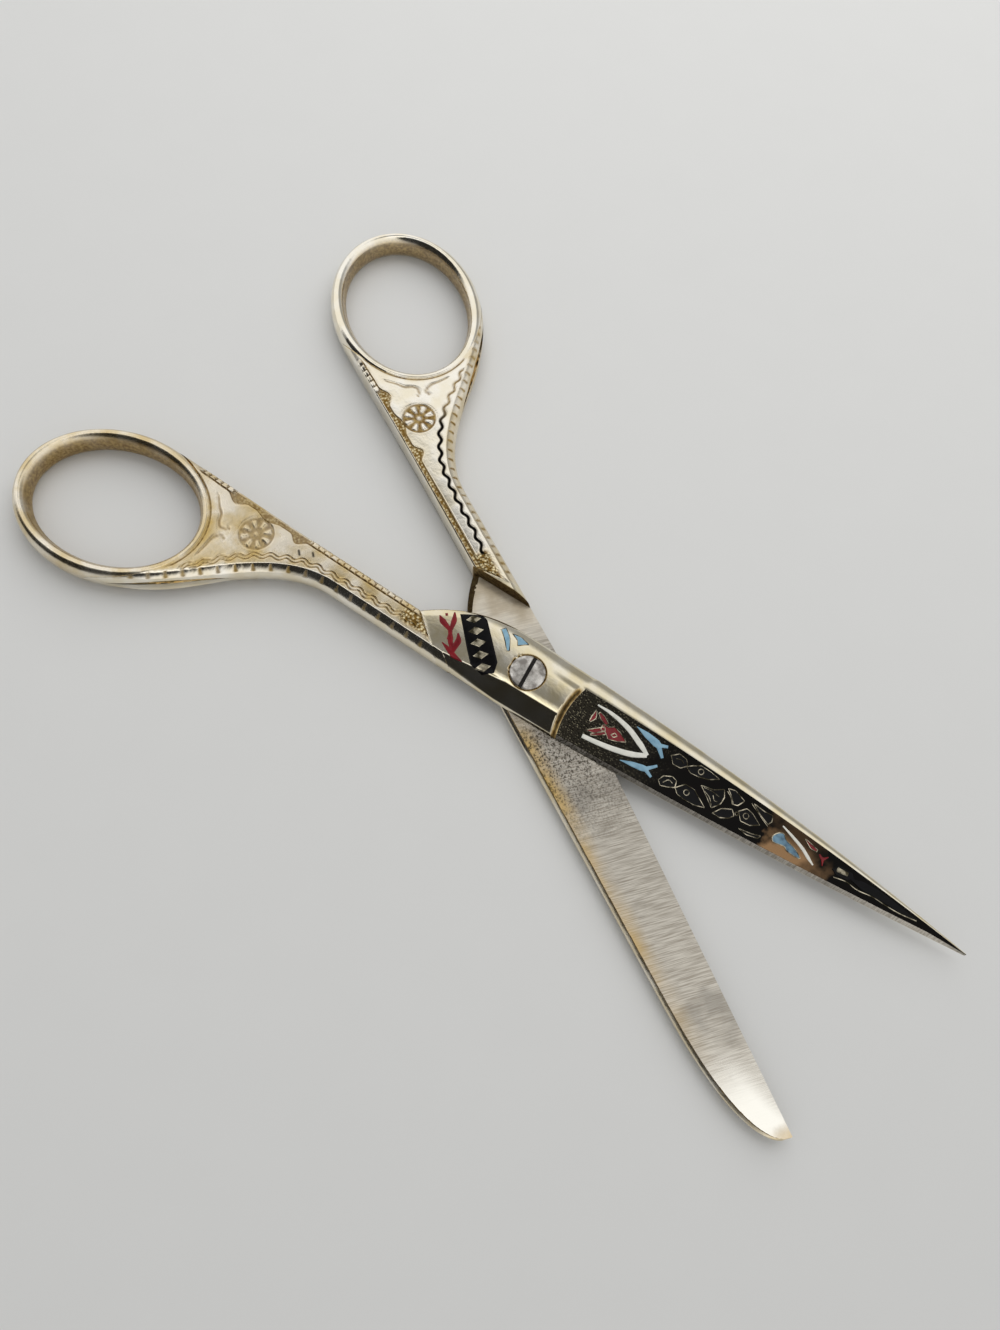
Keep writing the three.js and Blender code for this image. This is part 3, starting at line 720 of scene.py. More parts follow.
def half_sheets(blade, is_front):
    """Both faces of a half as grids of lines by rows, with the numbers that its finishes read."""
    parts = [web_lines(), *shank_and_joint(blade), blade_lines(blade)]
    x, y, top, under, inset = (np.concatenate(layer) for layer in zip(*parts))
    handle = WEB_LINES + SHANK_LINES
    carved = handle + 1 + RAMP_LINES
    cut = handle_carving(x[:carved], y[:carved], inset[:carved], is_front)
    cut = {key: np.vstack([layer, np.zeros_like(x[carved:])]) for key, layer in cut.items()}
    relief = cut.pop("relief")
    top = top + relief
    under[:handle] -= relief[:handle]
    reach = np.hypot(x, y)
    ring = HEAD_RADIUS if is_front else SCREW_RADIUS
    # A dark ring round the screw: grime and painted shade in the crevice
    cut["recess"] = np.maximum(cut["recess"], GRIME_AND_SHADE_DARK * hump(reach - ring - RING_HALF / 2, RING_HALF))
    if is_front:
        top -= WELL_DEPTH * past(HEAD_RADIUS, reach, WELL_EDGE)
    else:
        top -= SEAT_DEPTH * past(SCREW_RADIUS + SEAT_EDGE / 2, reach, SEAT_EDGE)
    # Painted shade on the wall of the step down from the joint
    middle, half = STEP_WALL
    wall = hump((x - STEP_START) / STEP_RUN - middle, half) * past(inset, FACET_WIDTH, 1)
    cut["recess"] = np.maximum(cut["recess"], STEP_WALL_PAINTED_SHADE * wall)
    cut["wear"] = past(past_end(x, y), 0, WEAR_RUN)
    bow = STEP_BOW * ((y - STEP_MIDDLE) / STEP_HALF) ** 2 * hump(x - GRIND_START, STEP_FADE)
    is_handle = (np.arange(len(x)) < handle)[:, None]
    below = {key: layer * is_handle for key, layer in cut.items()}
    # Painted shade on the shoulder's wall, darkest at its foot
    below["recess"][handle - 1 : handle + 1] = np.array(SHOULDER_PAINTED_SHADE)[:, None]
    # A dark brown line along the back edge of the rubbing face
    below["recess"][handle + 1 : carved] = EDGE_BROWN
    below["recess"][carved:] = EDGE_BROWN * hump(inset[carved:] - BACK_BREAK[0], CREASE_HALF)
    below["patina"][carved:] = BACK_EDGE_HAZE
    x = x + np.where(x > 0, bow, 0)
    return {"x": x, "y": y, "top": top, "under": under, "inset": inset, "cut": cut, "below": below}


def quads(index):
    """Quads between the points of a grid of point numbers."""
    return np.stack([index[:-1, :-1], index[:-1, 1:], index[1:, 1:], index[1:, :-1]], axis=-1).reshape(-1, 4)


def tube_faces(rings, sides, is_ring=False):
    """Quads round a tube of rings of points, whose ends are closed by caps or joined to each other."""
    index = np.arange(rings * sides).reshape(rings, sides)
    caps = [] if is_ring else index[[0, -1]].tolist()
    return quads(np.pad(index, ((0, int(is_ring)), (0, 1)), "wrap")).tolist() + caps


def turn_half(points, is_front):
    """From a half's own frame to the frame of the whole: the back half is turned over first."""
    side = 1 if is_front else -1
    turn = np.eye(3)
    turn[:2, :2] = axes(side * OPEN_ANGLE / 2)
    return (points * [1, side, side]) @ turn + [0, 0, JOINT_THICK]


SHARP_ANGLE = 40


def make_piece(name, points, faces, materials, face_material=None, numbers=None):
    """A mesh piece in metres from points in millimetres, with its finishes and its numbers at each point."""
    mesh = bpy.data.meshes.new(name)
    mesh.from_pydata((points * MM).tolist(), [], faces)
    for material in materials:
        mesh.materials.append(material)
    if face_material is not None:
        mesh.polygons.foreach_set("material_index", np.asarray(face_material, np.int32))
    for key, values in (numbers or {}).items():
        layer = mesh.attributes.new(key, "FLOAT", "POINT")
        layer.data.foreach_set("value", np.asarray(values, np.float32))
    mesh.polygons.foreach_set("use_smooth", np.ones(len(mesh.polygons), bool))
    skin = bmesh.new()
    skin.from_mesh(mesh)
    bmesh.ops.recalc_face_normals(skin, faces=skin.faces)
    skin.to_mesh(mesh)
    skin.free()
    mesh.set_sharp_from_angle(angle=math.radians(SHARP_ANGLE))
    piece = bpy.data.objects.new(name, mesh)
    bpy.context.scene.collection.objects.link(piece)
    return piece


def settle(piece, body, slot, *nodes):
    """Lets a piece ride on a body and stand for its solids.

    slot: not used.
    """
    if nodes:
        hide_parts(*nodes)
    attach(piece, body)


GILT_FACE, PANEL_FACE, STEEL_FACE = range(3)
RIM_BROWN = 0.85
RIM_BROWN_START = 0.35

# The ground face of a blade: yellow stain along its back, on the seat and at the end of the nose, polishing
# towards the nose, and painted sheen that lightens the nose and the seat
STAIN_WIDTH = 3.2
STAIN_RUN = (3.0, 68.0)
STAIN_FADE = 7.0
STAIN_TAPER = 42.0
SEAT_STAIN = 0.3
NOSE_STAIN = 66.8
NOSE_BROWN = 0.6
SEAT_PAINTED_SHEEN = 0.5
GLOW_WIDTH = 2.8
GLOW_LOSS = 0.6
POLISH_START = 54.0
POLISH_RUN = 10.0


def steel_stains(x, inset):
    """How stained, polished and mirror-smooth each place of a ground face is, by its length and its inset.

    The share of polishing also lightens the colour, as painted sheen on the nose and the seat.
    """
    is_seat = past(-x, RAMP_TOP, STAIN_FADE)
    along = past(x, STAIN_RUN[0], STAIN_FADE) * past(STAIN_RUN[1], x, STAIN_TAPER)
    beside = along * ease(1 - inset / STAIN_WIDTH)
    nose = NOSE_BROWN * past(x, NOSE_STAIN, BLUNT_LENGTH - NOSE_STAIN)
    mirror = past(x, POLISH_START, POLISH_RUN) * (1 - GLOW_LOSS * past(inset, GLOW_WIDTH, GLOW_WIDTH))
    return {
        "stain": np.max([beside, SEAT_STAIN * is_seat, nose], axis=0),
        "polish_and_painted_sheen": mirror + SEAT_PAINTED_SHEEN * is_seat,
        "mirror": mirror,
    }


def bow_rim():
    """The rim of the bow: an upright ellipse carried round the bow's ellipse, brown on its side towards the
    hole.
    """
    turn = around(RIM_ROWS)
    place = bow_point(around(RIM_LINES)[:, None], (RIM_WIDTH / 2) * np.cos(turn))
    points = raised(place, (RIM_HEIGHT / 2) * np.sin(turn)).reshape(-1, 3)
    brown = RIM_BROWN * past(-np.cos(turn), RIM_BROWN_START, 1 - RIM_BROWN_START)
    return points, np.tile(brown, RIM_LINES)


def half_finishes(inset, is_front):
    """Which finish each face of the upper and the lower sheet has, by its line, its row and its inset."""
    lines, rows = inset.shape
    line = np.arange(lines - 1)[:, None]
    row = np.arange(rows - 1)[None]
    is_blade = line >= lines - BLADE_LINES
    is_ground = is_blade & (row >= EDGE_ROWS) & (row < EDGE_ROWS + MIDDLE_ROWS)
    is_bevel = is_blade & (row >= EDGE_ROWS + MIDDLE_ROWS)
    face = PANEL_FACE if is_front else GILT_FACE
    over = np.where(is_ground, face, np.where(is_bevel, STEEL_FACE, GILT_FACE))
    is_rubbed = (line >= WEB_LINES + SHANK_LINES) & (inset[:-1, :-1] >= BACK_BREAK[0])
    below = np.where(is_rubbed, STEEL_FACE, GILT_FACE)
    return np.concatenate([over.ravel(), below.ravel()])


def make_half(node, body, sheets, is_front, finishes):
    """A half as one closed skin over its two sheets, with the rim of the bow as a ring of its own."""
    x, y, inset = (sheets[key] for key in ("x", "y", "inset"))
    count = x.size
    number = np.arange(count).reshape(x.shape)
    edges = (number[:, 0], number[:, -1], number[0], number[-1])
    walls = [quads(np.stack([edge, edge + count])) for edge in edges]
    rim, brown = bow_rim()
    rim_faces = np.array(tube_faces(RIM_LINES, RIM_ROWS, True)) + 2 * count
    faces = np.vstack([quads(number), quads(number + count), *walls, rim_faces]).tolist()
    skin = [raised(places(x, y), sheets[side]).reshape(-1, 3) for side in ("top", "under")]
    points = turn_half(np.vstack([*skin, rim]), is_front)
    sheet_finish = half_finishes(inset, is_front)
    face_material = np.concatenate([sheet_finish, np.full(len(faces) - len(sheet_finish), GILT_FACE)])
    bare = np.zeros(len(rim))
    on_rim = {"recess": brown, "patina": bare + HAZE[is_front][2]}
    numbers = {
        key: np.concatenate([layer.ravel(), sheets["below"][key].ravel(), on_rim.get(key, bare)])
        for key, layer in sheets["cut"].items()
    }
    for key, layer in steel_stains(x, inset).items():
        numbers[key] = np.concatenate([np.zeros(count), layer.ravel(), bare])
    piece = make_piece(f"{node}_carved", points, faces, finishes, face_material, numbers)
    settle(piece, body, "gilt_steel", node)


# Enamel, which stands a little proud of its bed, and the thin walls of metal left round it
INLAY_RISE = 0.05
INLAY_SINK = 0.25
WIRE_HALF = 0.075
WIRE_RISE = 0.07
STROKE_STEPS = 28
STROKE_ROWS = 12
OUTLINE_STEP = 0.3
NEAR = 0.12
LEAST_WEIGHT = 1e-30
PAD_SHARE = np.array([1, 1, 0.96, 0.88, 0.72, 0.5, 0.25, 0.04])
PAD_LEVEL = np.array([0, 0.2, 0.75, 0.95, 1, 1, 1, 1])

front_sheets = half_sheets(PointedBlade(), True)
JOINT_PART = slice(WEB_LINES + SHANK_LINES, WEB_LINES + SHANK_LINES + 1 + RAMP_LINES + FLAT_LINES)
JOINT_SHEET = [front_sheets[key][JOINT_PART].ravel() for key in ("x", "y", "top")]


def front_height(x, y):
    """Height of the front half's face: its ground plane, or on the joint the mean of its near points."""
    gap = (x.ravel()[:, None] - JOINT_SHEET[0]) ** 2 + (y.ravel()[:, None] - JOINT_SHEET[1]) ** 2
    weight = np.exp(-gap / (2 * NEAR**2)) + LEAST_WEIGHT
    joint = (weight @ JOINT_SHEET[2] / weight.sum(axis=1)).reshape(x.shape)
    return np.where(x > GRIND_START, ground_height(PointedBlade(), x, y), joint)


def lay(place, level):
    """Points laid on the front half's face, raised by a level."""
    return raised(place, front_height(place[..., 0], place[..., 1]) + level)


def pad(corners, rise=INLAY_RISE):
    """A low pillow on an outline with straight sides: rings drawn in to its middle, rising at the edge."""
    corners = np.asarray(corners, float)
    ring = np.vstack([corners, corners[:1]])
    length = path_length(ring)
    outline = points_at(ring, np.union1d(np.arange(0, length[-1], OUTLINE_STEP), length[:-1]))
    level = np.where(np.arange(len(PAD_LEVEL)) == 0, -INLAY_SINK, rise * PAD_LEVEL)
    return lay(drawn_in(outline, PAD_SHARE), level[:, None]), False


def sweep(path, half, rise, is_ring=False):
    """A low rounded bar along a path: a cosine across, the root of a sine up, and a sunk lower side."""
    turn = around(STROKE_ROWS)
    out = np.reshape(half, (-1, 1)) * np.cos(turn)
    place = path[:, None] + out[..., None] * side_of(path, is_ring)[:, None]
    up = np.sin(turn)
    level = np.where(up > 0, rise * np.sqrt(np.abs(up)), INLAY_SINK * up)
    return lay(place, level), is_ring


def stroke_form(spine):
    """The smooth path of a stroke, and its half width at each point, from places with their half widths."""
    spine = np.array(spine)
    share = np.linspace(0, 1, STROKE_STEPS)
    half = np.interp(share, np.linspace(0, 1, len(spine)), spine[:, 2])
    return smooth_path(spine[:, :2], STROKE_STEPS), half


def stroke(spine, rise=INLAY_RISE):
    """A low rounded bar along a smooth spine, with a half width that changes along it."""
    return sweep(*stroke_form(spine), rise)


def wire(points, is_closed=False, is_smooth=True):
    """A thin wall of metal along a line."""
    if is_smooth:
        path = smooth_path(points, 3 * STROKE_STEPS, is_closed)
    else:
        ring = np.vstack([points, points[:1]])
        path = points_at(ring, np.arange(0, path_length(ring)[-1] - OUTLINE_STEP / 2, OUTLINE_STEP / 2))
    return sweep(path, WIRE_HALF, WIRE_RISE, is_closed)


def stroke_edge(spine):
    """The outline of a stroke as a closed line."""
    path, half = stroke_form(spine)
    side = half[:, None] * side_of(path)
    return np.vstack([path + side, (path - side)[::-1]])


def circle(place, radius, count=16):
    """Points round a circle."""
    angle = around(count)
    return np.asarray(place) + radius * places(np.cos(angle), np.sin(angle))


def join_shapes(shapes):
    """Several tubes as one list of points and one of faces, and the number of the shape of each face."""
    points, faces, owner = [], [], []
    start = 0
    for number, (rings, is_ring) in enumerate(shapes):
        own = tube_faces(rings.shape[0], rings.shape[1], is_ring)
        faces += [[start + index for index in face] for face in own]
        owner += [number] * len(own)
        points.append(rings.reshape(-1, 3))
        start += len(points[-1])
    return np.vstack(points), faces, np.array(owner)


# Enamel fills by name, first on the joint and then on the blade from the step to the point
# Three numbers are a place on the spine of a stroke and its half width there, two are a place on an outline
INLAYS = {
    "red_sprig_bud": [
        [(-15.4, 0.1, 0.08), (-14.5, -0.4, 0.48), (-13.0, -0.9, 0.3)],
        [(-13.9, 1.8, 0.12), (-13.2, 0.6, 0.42), (-12.8, -0.8, 0.3)],
        [(-14.8, 0.95, 0.2), (-14.5, 0.65, 0.2)],
    ],
    "red_sprig_stem": [[(-13.1, -0.6, 0.4), (-12.5, -1.4, 0.3), (-12.0, -2.2, 0.5)]],
    "red_sprig_leaf": [
        [(-12.1, -2.0, 0.42), (-11.6, -2.6, 0.36), (-10.8, -3.1, 0.4)],
        [(-11.6, -0.7, 0.12), (-10.9, -1.7, 0.46), (-10.8, -2.9, 0.44), (-10.6, -3.9, 0.28)],
        [(-12.7, -3.2, 0.08), (-11.5, -3.5, 0.34), (-10.3, -3.9, 0.42), (-8.7, -4.0, 0.08)],
    ],
    "black_joint_band": [[
        (-13.1, 2.0), (-10.3, 3.9), (-9.3, 3.5), (-4.4, -1.2), (-3.9, -2.8), (-5.2, -4.0), (-7.4, -3.7),
        (-9.1, -2.1),
    ]],
    "blue_joint_leaf": [[(-6.6, 3.75, 0.4), (-5.3, 2.7, 0.42), (-4.15, 1.15, 0.2)]],
    "blue_joint_petal": [[(-5.1, 3.85), (-3.7, 4.1), (-2.2, 3.75), (-3.45, 2.65), (-3.95, 3.35)]],
    "white_chevron": [
        [
            (10.9, 1.85, 0.12), (13.3, 1.88, 0.26), (16.2, 1.45, 0.36), (18.9, 0.46, 0.4),
            (20.6, -0.34, 0.25),
        ],
        [
            (11.4, -3.05, 0.3), (13.85, -2.68, 0.34), (16.5, -2.11, 0.38), (18.7, -1.39, 0.4),
            (20.55, -0.4, 0.3),
        ],
    ],
    "red_petal_top": [
        [(11.2, 0.95, 0.1), (11.35, 0.05, 0.34), (11.2, -0.75, 0.1)],
        [(11.7, 1.0, 0.16), (12.5, 0.65, 0.34), (13.5, 0.2, 0.24)],
    ],
    "red_petal_foot": [
        [(11.6, -2.0, 0.08), (12.5, -1.5, 0.34), (13.6, -0.5, 0.3)],
        [(12.3, -2.3, 0.08), (13.2, -1.6, 0.24), (13.9, -0.9, 0.24)],
    ],
    "red_petal_centre": [[
        (13.0, -0.1), (13.9, 0.0), (14.6, 0.5), (15.8, 0.2), (17.1, -0.42), (16.0, -1.05), (14.7, -1.5),
        (14.0, -0.9), (13.1, -0.9),
    ]],
    "blue_fin_top": [
        [(17.2, 2.3, 0.04), (19.0, 2.07, 0.42), (20.7, 1.82, 0.55), (21.7, 1.6, 0.32)],
        [(21.2, 1.75, 0.3), (22.4, 2.27, 0.2)],
        [(21.3, 1.6, 0.36), (22.56, 0.5, 0.2)],
    ],
    "blue_fin_foot": [
        [(17.7, -3.0, 0.04), (19.4, -2.55, 0.34), (20.9, -2.2, 0.45), (21.8, -1.95, 0.3)],
        [(21.4, -2.05, 0.3), (22.55, -0.8, 0.18)],
        [(21.4, -2.1, 0.3), (22.64, -2.6, 0.18)],
    ],
    "black_lace": [
        [(23.4, 1.5), (24.3, 2.35), (25.5, 2.2), (26.1, 1.5), (25.4, 0.7), (24.2, 0.6)],
        [
            (26.0, 1.35), (26.7, 1.95), (27.7, 2.6), (29.2, 2.6), (30.8, 2.4), (29.5, 1.5), (28.1, 1.05),
            (26.9, 0.9),
        ],
        [(23.7, -2.4), (24.0, -1.5), (25.1, -0.9), (25.9, -1.1), (26.2, -2.0), (25.3, -2.5), (24.3, -2.9)],
        [(26.2, -2.0), (27.2, -0.8), (28.6, -0.75), (31.1, -2.1), (29.6, -2.6), (28.0, -2.7), (26.9, -2.6)],
        [(29.1, 0.3), (30.9, 0.7), (32.1, 1.6), (32.7, 0.6), (32.7, -0.4), (31.9, -1.6), (30.3, -0.5)],
        [(32.5, 2.0), (33.5, 2.3), (35.3, 1.75), (34.8, 0.7), (34.2, 0.5), (33.3, 1.4)],
        [(32.4, -2.1), (33.1, -0.9), (34.4, -0.15), (35.1, -0.8), (34.6, -1.5), (33.5, -2.1)],
        [(35.3, 0.1), (36.1, 1.05), (37.1, 0.9), (38.7, 0.1), (37.6, -0.7), (36.2, -0.9)],
        [(36.6, 2.2), (38.3, 2.05), (39.6, 2.2), (39.9, 1.4), (39.6, 0.8), (37.9, 1.4)],
        [(36.5, -1.9), (38.3, -1.55), (39.6, -1.1), (39.4, -1.6), (37.8, -2.05)],
    ],
    "blue_point_leaf": [smooth_path([
        (41.4, 0.6), (41.0, -0.2), (41.45, -0.82), (42.99, -0.5), (43.7, -0.85), (45.7, -0.76), (44.3, 0.05),
        (42.8, 0.38), (42.15, 0.94),
    ], STROKE_STEPS, True)],
    "white_point_bar": [[
        (41.48, 1.8, 0.1), (43.2, 1.32, 0.19), (45.2, 0.68, 0.23), (46.56, 0.0, 0.23), (47.6, -0.5, 0.1),
    ]],
    "red_point_petal": [[(45.0, 1.95, 0.05), (46.2, 1.55, 0.28), (47.1, 1.45, 0.16)]],
    "red_point_bud": [
        [(47.6, 1.25, 0.1), (48.3, 0.98, 0.24), (48.85, 1.6, 0.06)],
        [(48.3, 1.0, 0.22), (48.7, 0.1, 0.05)],
    ],
    "black_eye": [[(50.0, 0.5), (50.6, 1.45), (52.6, 1.6), (53.2, 1.0), (52.4, 0.3), (50.8, 0.1)]],
    "black_point_blade": [[
        (52.9, 0.75, 0.15), (54.6, 0.85, 0.6), (57.5, 1.0, 0.6), (60.5, 0.9, 0.4), (63.2, 0.95, 0.05),
    ]],
}

# Walls of metal: round some fills and round two small islands in them, round eyes, and along open lines
EDGED_STROKES = ("blue_joint_leaf", "red_petal_top", "red_petal_foot", "red_point_petal")
EDGED_OUTLINES = ("blue_joint_petal", "red_petal_centre", "black_lace", "blue_point_leaf")
PETAL_ISLAND = [(14.7, -0.75), (15.1, -0.2), (15.6, -0.45), (15.2, -0.85)]
EYE_ISLAND = [(50.7, 0.85, 0.26), (52.2, 1.05, 0.2)]
LACE_EYES = [((28.1, 1.85), 0.38), ((27.9, -1.7), 0.38), ((36.5, 0.1), 0.38), ((35.25, -0.35), 0.22)]
WALL_LINES = [
    [(24.2, 1.5), (24.9, 1.75), (25.5, 1.5)],
    [(24.4, -2.3), (24.9, -1.6), (25.6, -1.7)],
    [(29.6, 0.25), (30.8, 0.4), (32.0, 0.3)],
    [(29.9, -0.15), (30.9, -0.5), (31.7, -1.3)],
    [(31.2, 0.0), (31.7, -0.5), (32.2, -0.4)],
    [(32.6, 1.6), (33.3, 1.2), (34.1, 0.4)],
    [(36.3, 2.0), (37.9, 1.3), (39.7, 0.55)],
    [(50.7, -0.33), (52.5, 0.08), (54.2, -0.05), (56.45, 0.31), (58.6, 0.32), (60.7, 0.45), (63.0, 0.85)],
]

# Raised lozenges in a row on the joint's black band
BAND_LINE = np.array([(-11.0, 2.45), (-5.7, -3.05)])
BAND_LOZENGES = 5
LOZENGE_HALF = np.array([[0.68], [1.2]])
LOZENGE_RISE = 0.1


def band_lozenges():
    """A row of raised lozenges down the middle of the black band."""
    side = side_of(BAND_LINE)[0]
    half = LOZENGE_HALF * np.array([(side[1], -side[0]), side])
    middles = mix(*BAND_LINE, np.linspace(0, 1, BAND_LOZENGES)[:, None])
    return [pad(middle + np.vstack([half, -half]), LOZENGE_RISE) for middle in middles]


def make_inlays(enamels, wall_metal):
    """Every fill of enamel as a piece of its own, then the walls and raised marks of metal between them."""
    for name, items in INLAYS.items():
        shapes = [stroke(item) if len(item[0]) == 3 else pad(item) for item in items]
        points, faces, _ = join_shapes(shapes)
        colour = name.split("_")[0]
        material = enamels.get(name, enamels[colour])
        piece = make_piece(f"{name}_inlay", turn_half(points, True), faces, [material])
        settle(piece, "front", f"enamel_{colour}", f"enamel_{name}")
    strokes = [item for name in EDGED_STROKES for item in INLAYS[name]]
    outlines = [item for name in EDGED_OUTLINES for item in INLAYS[name]]
    walls = [wire(stroke_edge(item), True) for item in [*strokes, EYE_ISLAND]]
    walls += [wire(np.array(item), True, False) for item in [*outlines, PETAL_ISLAND]]
    walls += [wire(circle(place, radius), True) for place, radius in LACE_EYES]
    walls += [wire(line) for line in WALL_LINES]
    walls += [stroke(EYE_ISLAND, LOZENGE_RISE), *band_lozenges()]
    points, faces, _ = join_shapes(walls)
    piece = make_piece("enamel_walls", turn_half(points, True), faces, [wall_metal])
    settle(piece, "front", "gilt_steel")


# The screw: a domed head in two lobes beside its slot, on a turned shank
LOBE_STEPS = 40
CHORD_STEPS = 16
LOBE_SHARE = np.array([1, 1, 0.985, 0.95, 0.85, 0.65, 0.4, 0.15, 0.02])
LOBE_DROP = np.array([0, 0.14, 0.05, 0.01, 0, 0, 0, 0, 0])
SHANK_SIDES = 64
AXIS_CAP = 0.02
FLOOR_INSET = 0.1
END_BREAK = (0.08, 0.05)
HEAD_SEAT = 2 * JOINT_THICK - HEAD_THICK
HEAD_RIM = 2 * JOINT_THICK + HEAD_PROUD
HEAD_TOP = 2 * JOINT_THICK + HEAD_CROWN


def head_lobe(turn):
    """Half of the head: a D-shaped outline beside the slot, drawn in ring by ring over a dome."""
    start = math.asin(SLOT_WIDTH / 2 / HEAD_RADIUS)
    angle = np.linspace(start, math.pi - start, LOBE_STEPS)
    arc = HEAD_RADIUS * places(np.cos(angle), np.sin(angle))
    chord = np.linspace(arc[-1], arc[0], CHORD_STEPS, endpoint=False)[1:]
    place = drawn_in(np.vstack([arc, chord]) @ axes(turn), LOBE_SHARE)
    radius = np.hypot(place[..., 0], place[..., 1])
    dome = mix(HEAD_TOP, HEAD_RIM, (radius / HEAD_RADIUS) ** 2) - LOBE_DROP[:, None]
    height = np.where(np.arange(len(LOBE_SHARE))[:, None] == 0, HEAD_SEAT, dome)
    return raised(place, height), False


def turned(profile):
    """A profile of radii and heights carried round the pivot axis."""
    angle = around(SHANK_SIDES)
    radius, height = np.asarray(profile, float).T[:, :, None]
    return raised(places(radius * np.cos(angle), radius * np.sin(angle)), height), False


def make_screw(nickel, grime):
    """The screw in one piece: two lobes, the dark floor of the slot, and the shank down to its filed end."""
    floor = HEAD_TOP - SLOT_DEPTH
    inside = HEAD_RADIUS - FLOOR_INSET
    break_width, break_height = END_BREAK
    shank = [(inside, HEAD_SEAT), (SCREW_RADIUS, HEAD_SEAT), (SCREW_RADIUS, break_height)]
    shank += [(SCREW_RADIUS - break_width, 0), (AXIS_CAP, 0)]
    slot_floor = turned([(AXIS_CAP, floor), (inside, floor), (inside, HEAD_SEAT)])
    shapes = [slot_floor, head_lobe(SLOT_ANGLE), head_lobe(SLOT_ANGLE + 180), turned(shank)]
    points, faces, owner = join_shapes(shapes)
    piece = make_piece("pivot_screw_slotted", points, faces, [nickel, grime], owner == 0)
    settle(piece, "back", "nickel_steel", "pivot_screw")


# Materials: the scale of a pattern is one over its size in millimetres
# A map range has a value at 0, two levels of it at 1 and 2, and what they become at 3 and 4, or else 0 and 1
# A colour mix has the share of its second colour at 0, and its colours at 6 and 7
def linear(colour):
    """An sRGB hex colour as linear red, green, blue and alpha."""
    srgb = np.array([int(colour[i : i + 2], 16) for i in (1, 3, 5)]) / 255
    rgb = np.where(srgb <= 0.04045, srgb / 12.92, ((srgb + 0.055) / 1.055) ** 2.4)
    return (*rgb.tolist(), 1.0)


def plug(node, inputs):
    """Links or sets inputs of a node."""
    for key, value in inputs.items():
        if isinstance(value, bpy.types.NodeSocket):
            node.id_data.links.new(value, node.inputs[key])
        else:
            node.inputs[key].default_value = value


def empty_tree(owner):
    """Empties the nodes of a material or a world, and gives the function that adds a node to them."""
    owner.use_nodes = True
    tree = owner.node_tree
    tree.nodes.clear()

    def add(kind, inputs=None, output=0, **settings):
        """Adds a shader node with its settings and inputs, and gives one of its outputs."""
        node = tree.nodes.new(f"ShaderNode{kind}")
        for key, value in settings.items():
            setattr(node, key, value)
        plug(node, inputs or {})
        return node.outputs[output] if node.outputs else None

    return add


def new_material(name):
    """An empty material, the function that adds nodes to it, and its shader."""
    material = bpy.data.materials.new(name)
    add = empty_tree(material)
    surface = add("BsdfPrincipled")
    add("OutputMaterial", {"Surface": surface})
    return material, add, surface.node


def millimetres(add, angle=0.0, size=(1, 1, 1)):
    """Object coordinates turned about the upright axis, in steps of a size in millimetres."""
    place = add("TexCoord", output="Object")
    level = add("Mapping", {"Vector": place, "Rotation": (0, 0, math.radians(angle))})
    return add("Mapping", {"Vector": level, "Scale": [1 / (step * MM) for step in size]})


def two_tones(add, pattern, levels, colours):
    """Two colours that run into each other between two levels of a pattern."""
    share = add("MapRange", {0: pattern, 1: levels[0], 2: levels[1]})
    first, second = map(linear, colours)
    return add("Mix", {0: share, 6: first, 7: second}, 2, data_type="RGBA")


def clouded(name, size, detail, levels, colours):
    """A new material in two colours that meet in clouds of a size, and the clouds."""
    material, add, shader = new_material(name)
    cloud = add("TexNoise", {"Vector": millimetres(add), "Scale": 1 / size, "Detail": detail})
    plug(shader, {"Base Color": two_tones(add, cloud, levels, colours)})
    return material, add, shader, cloud


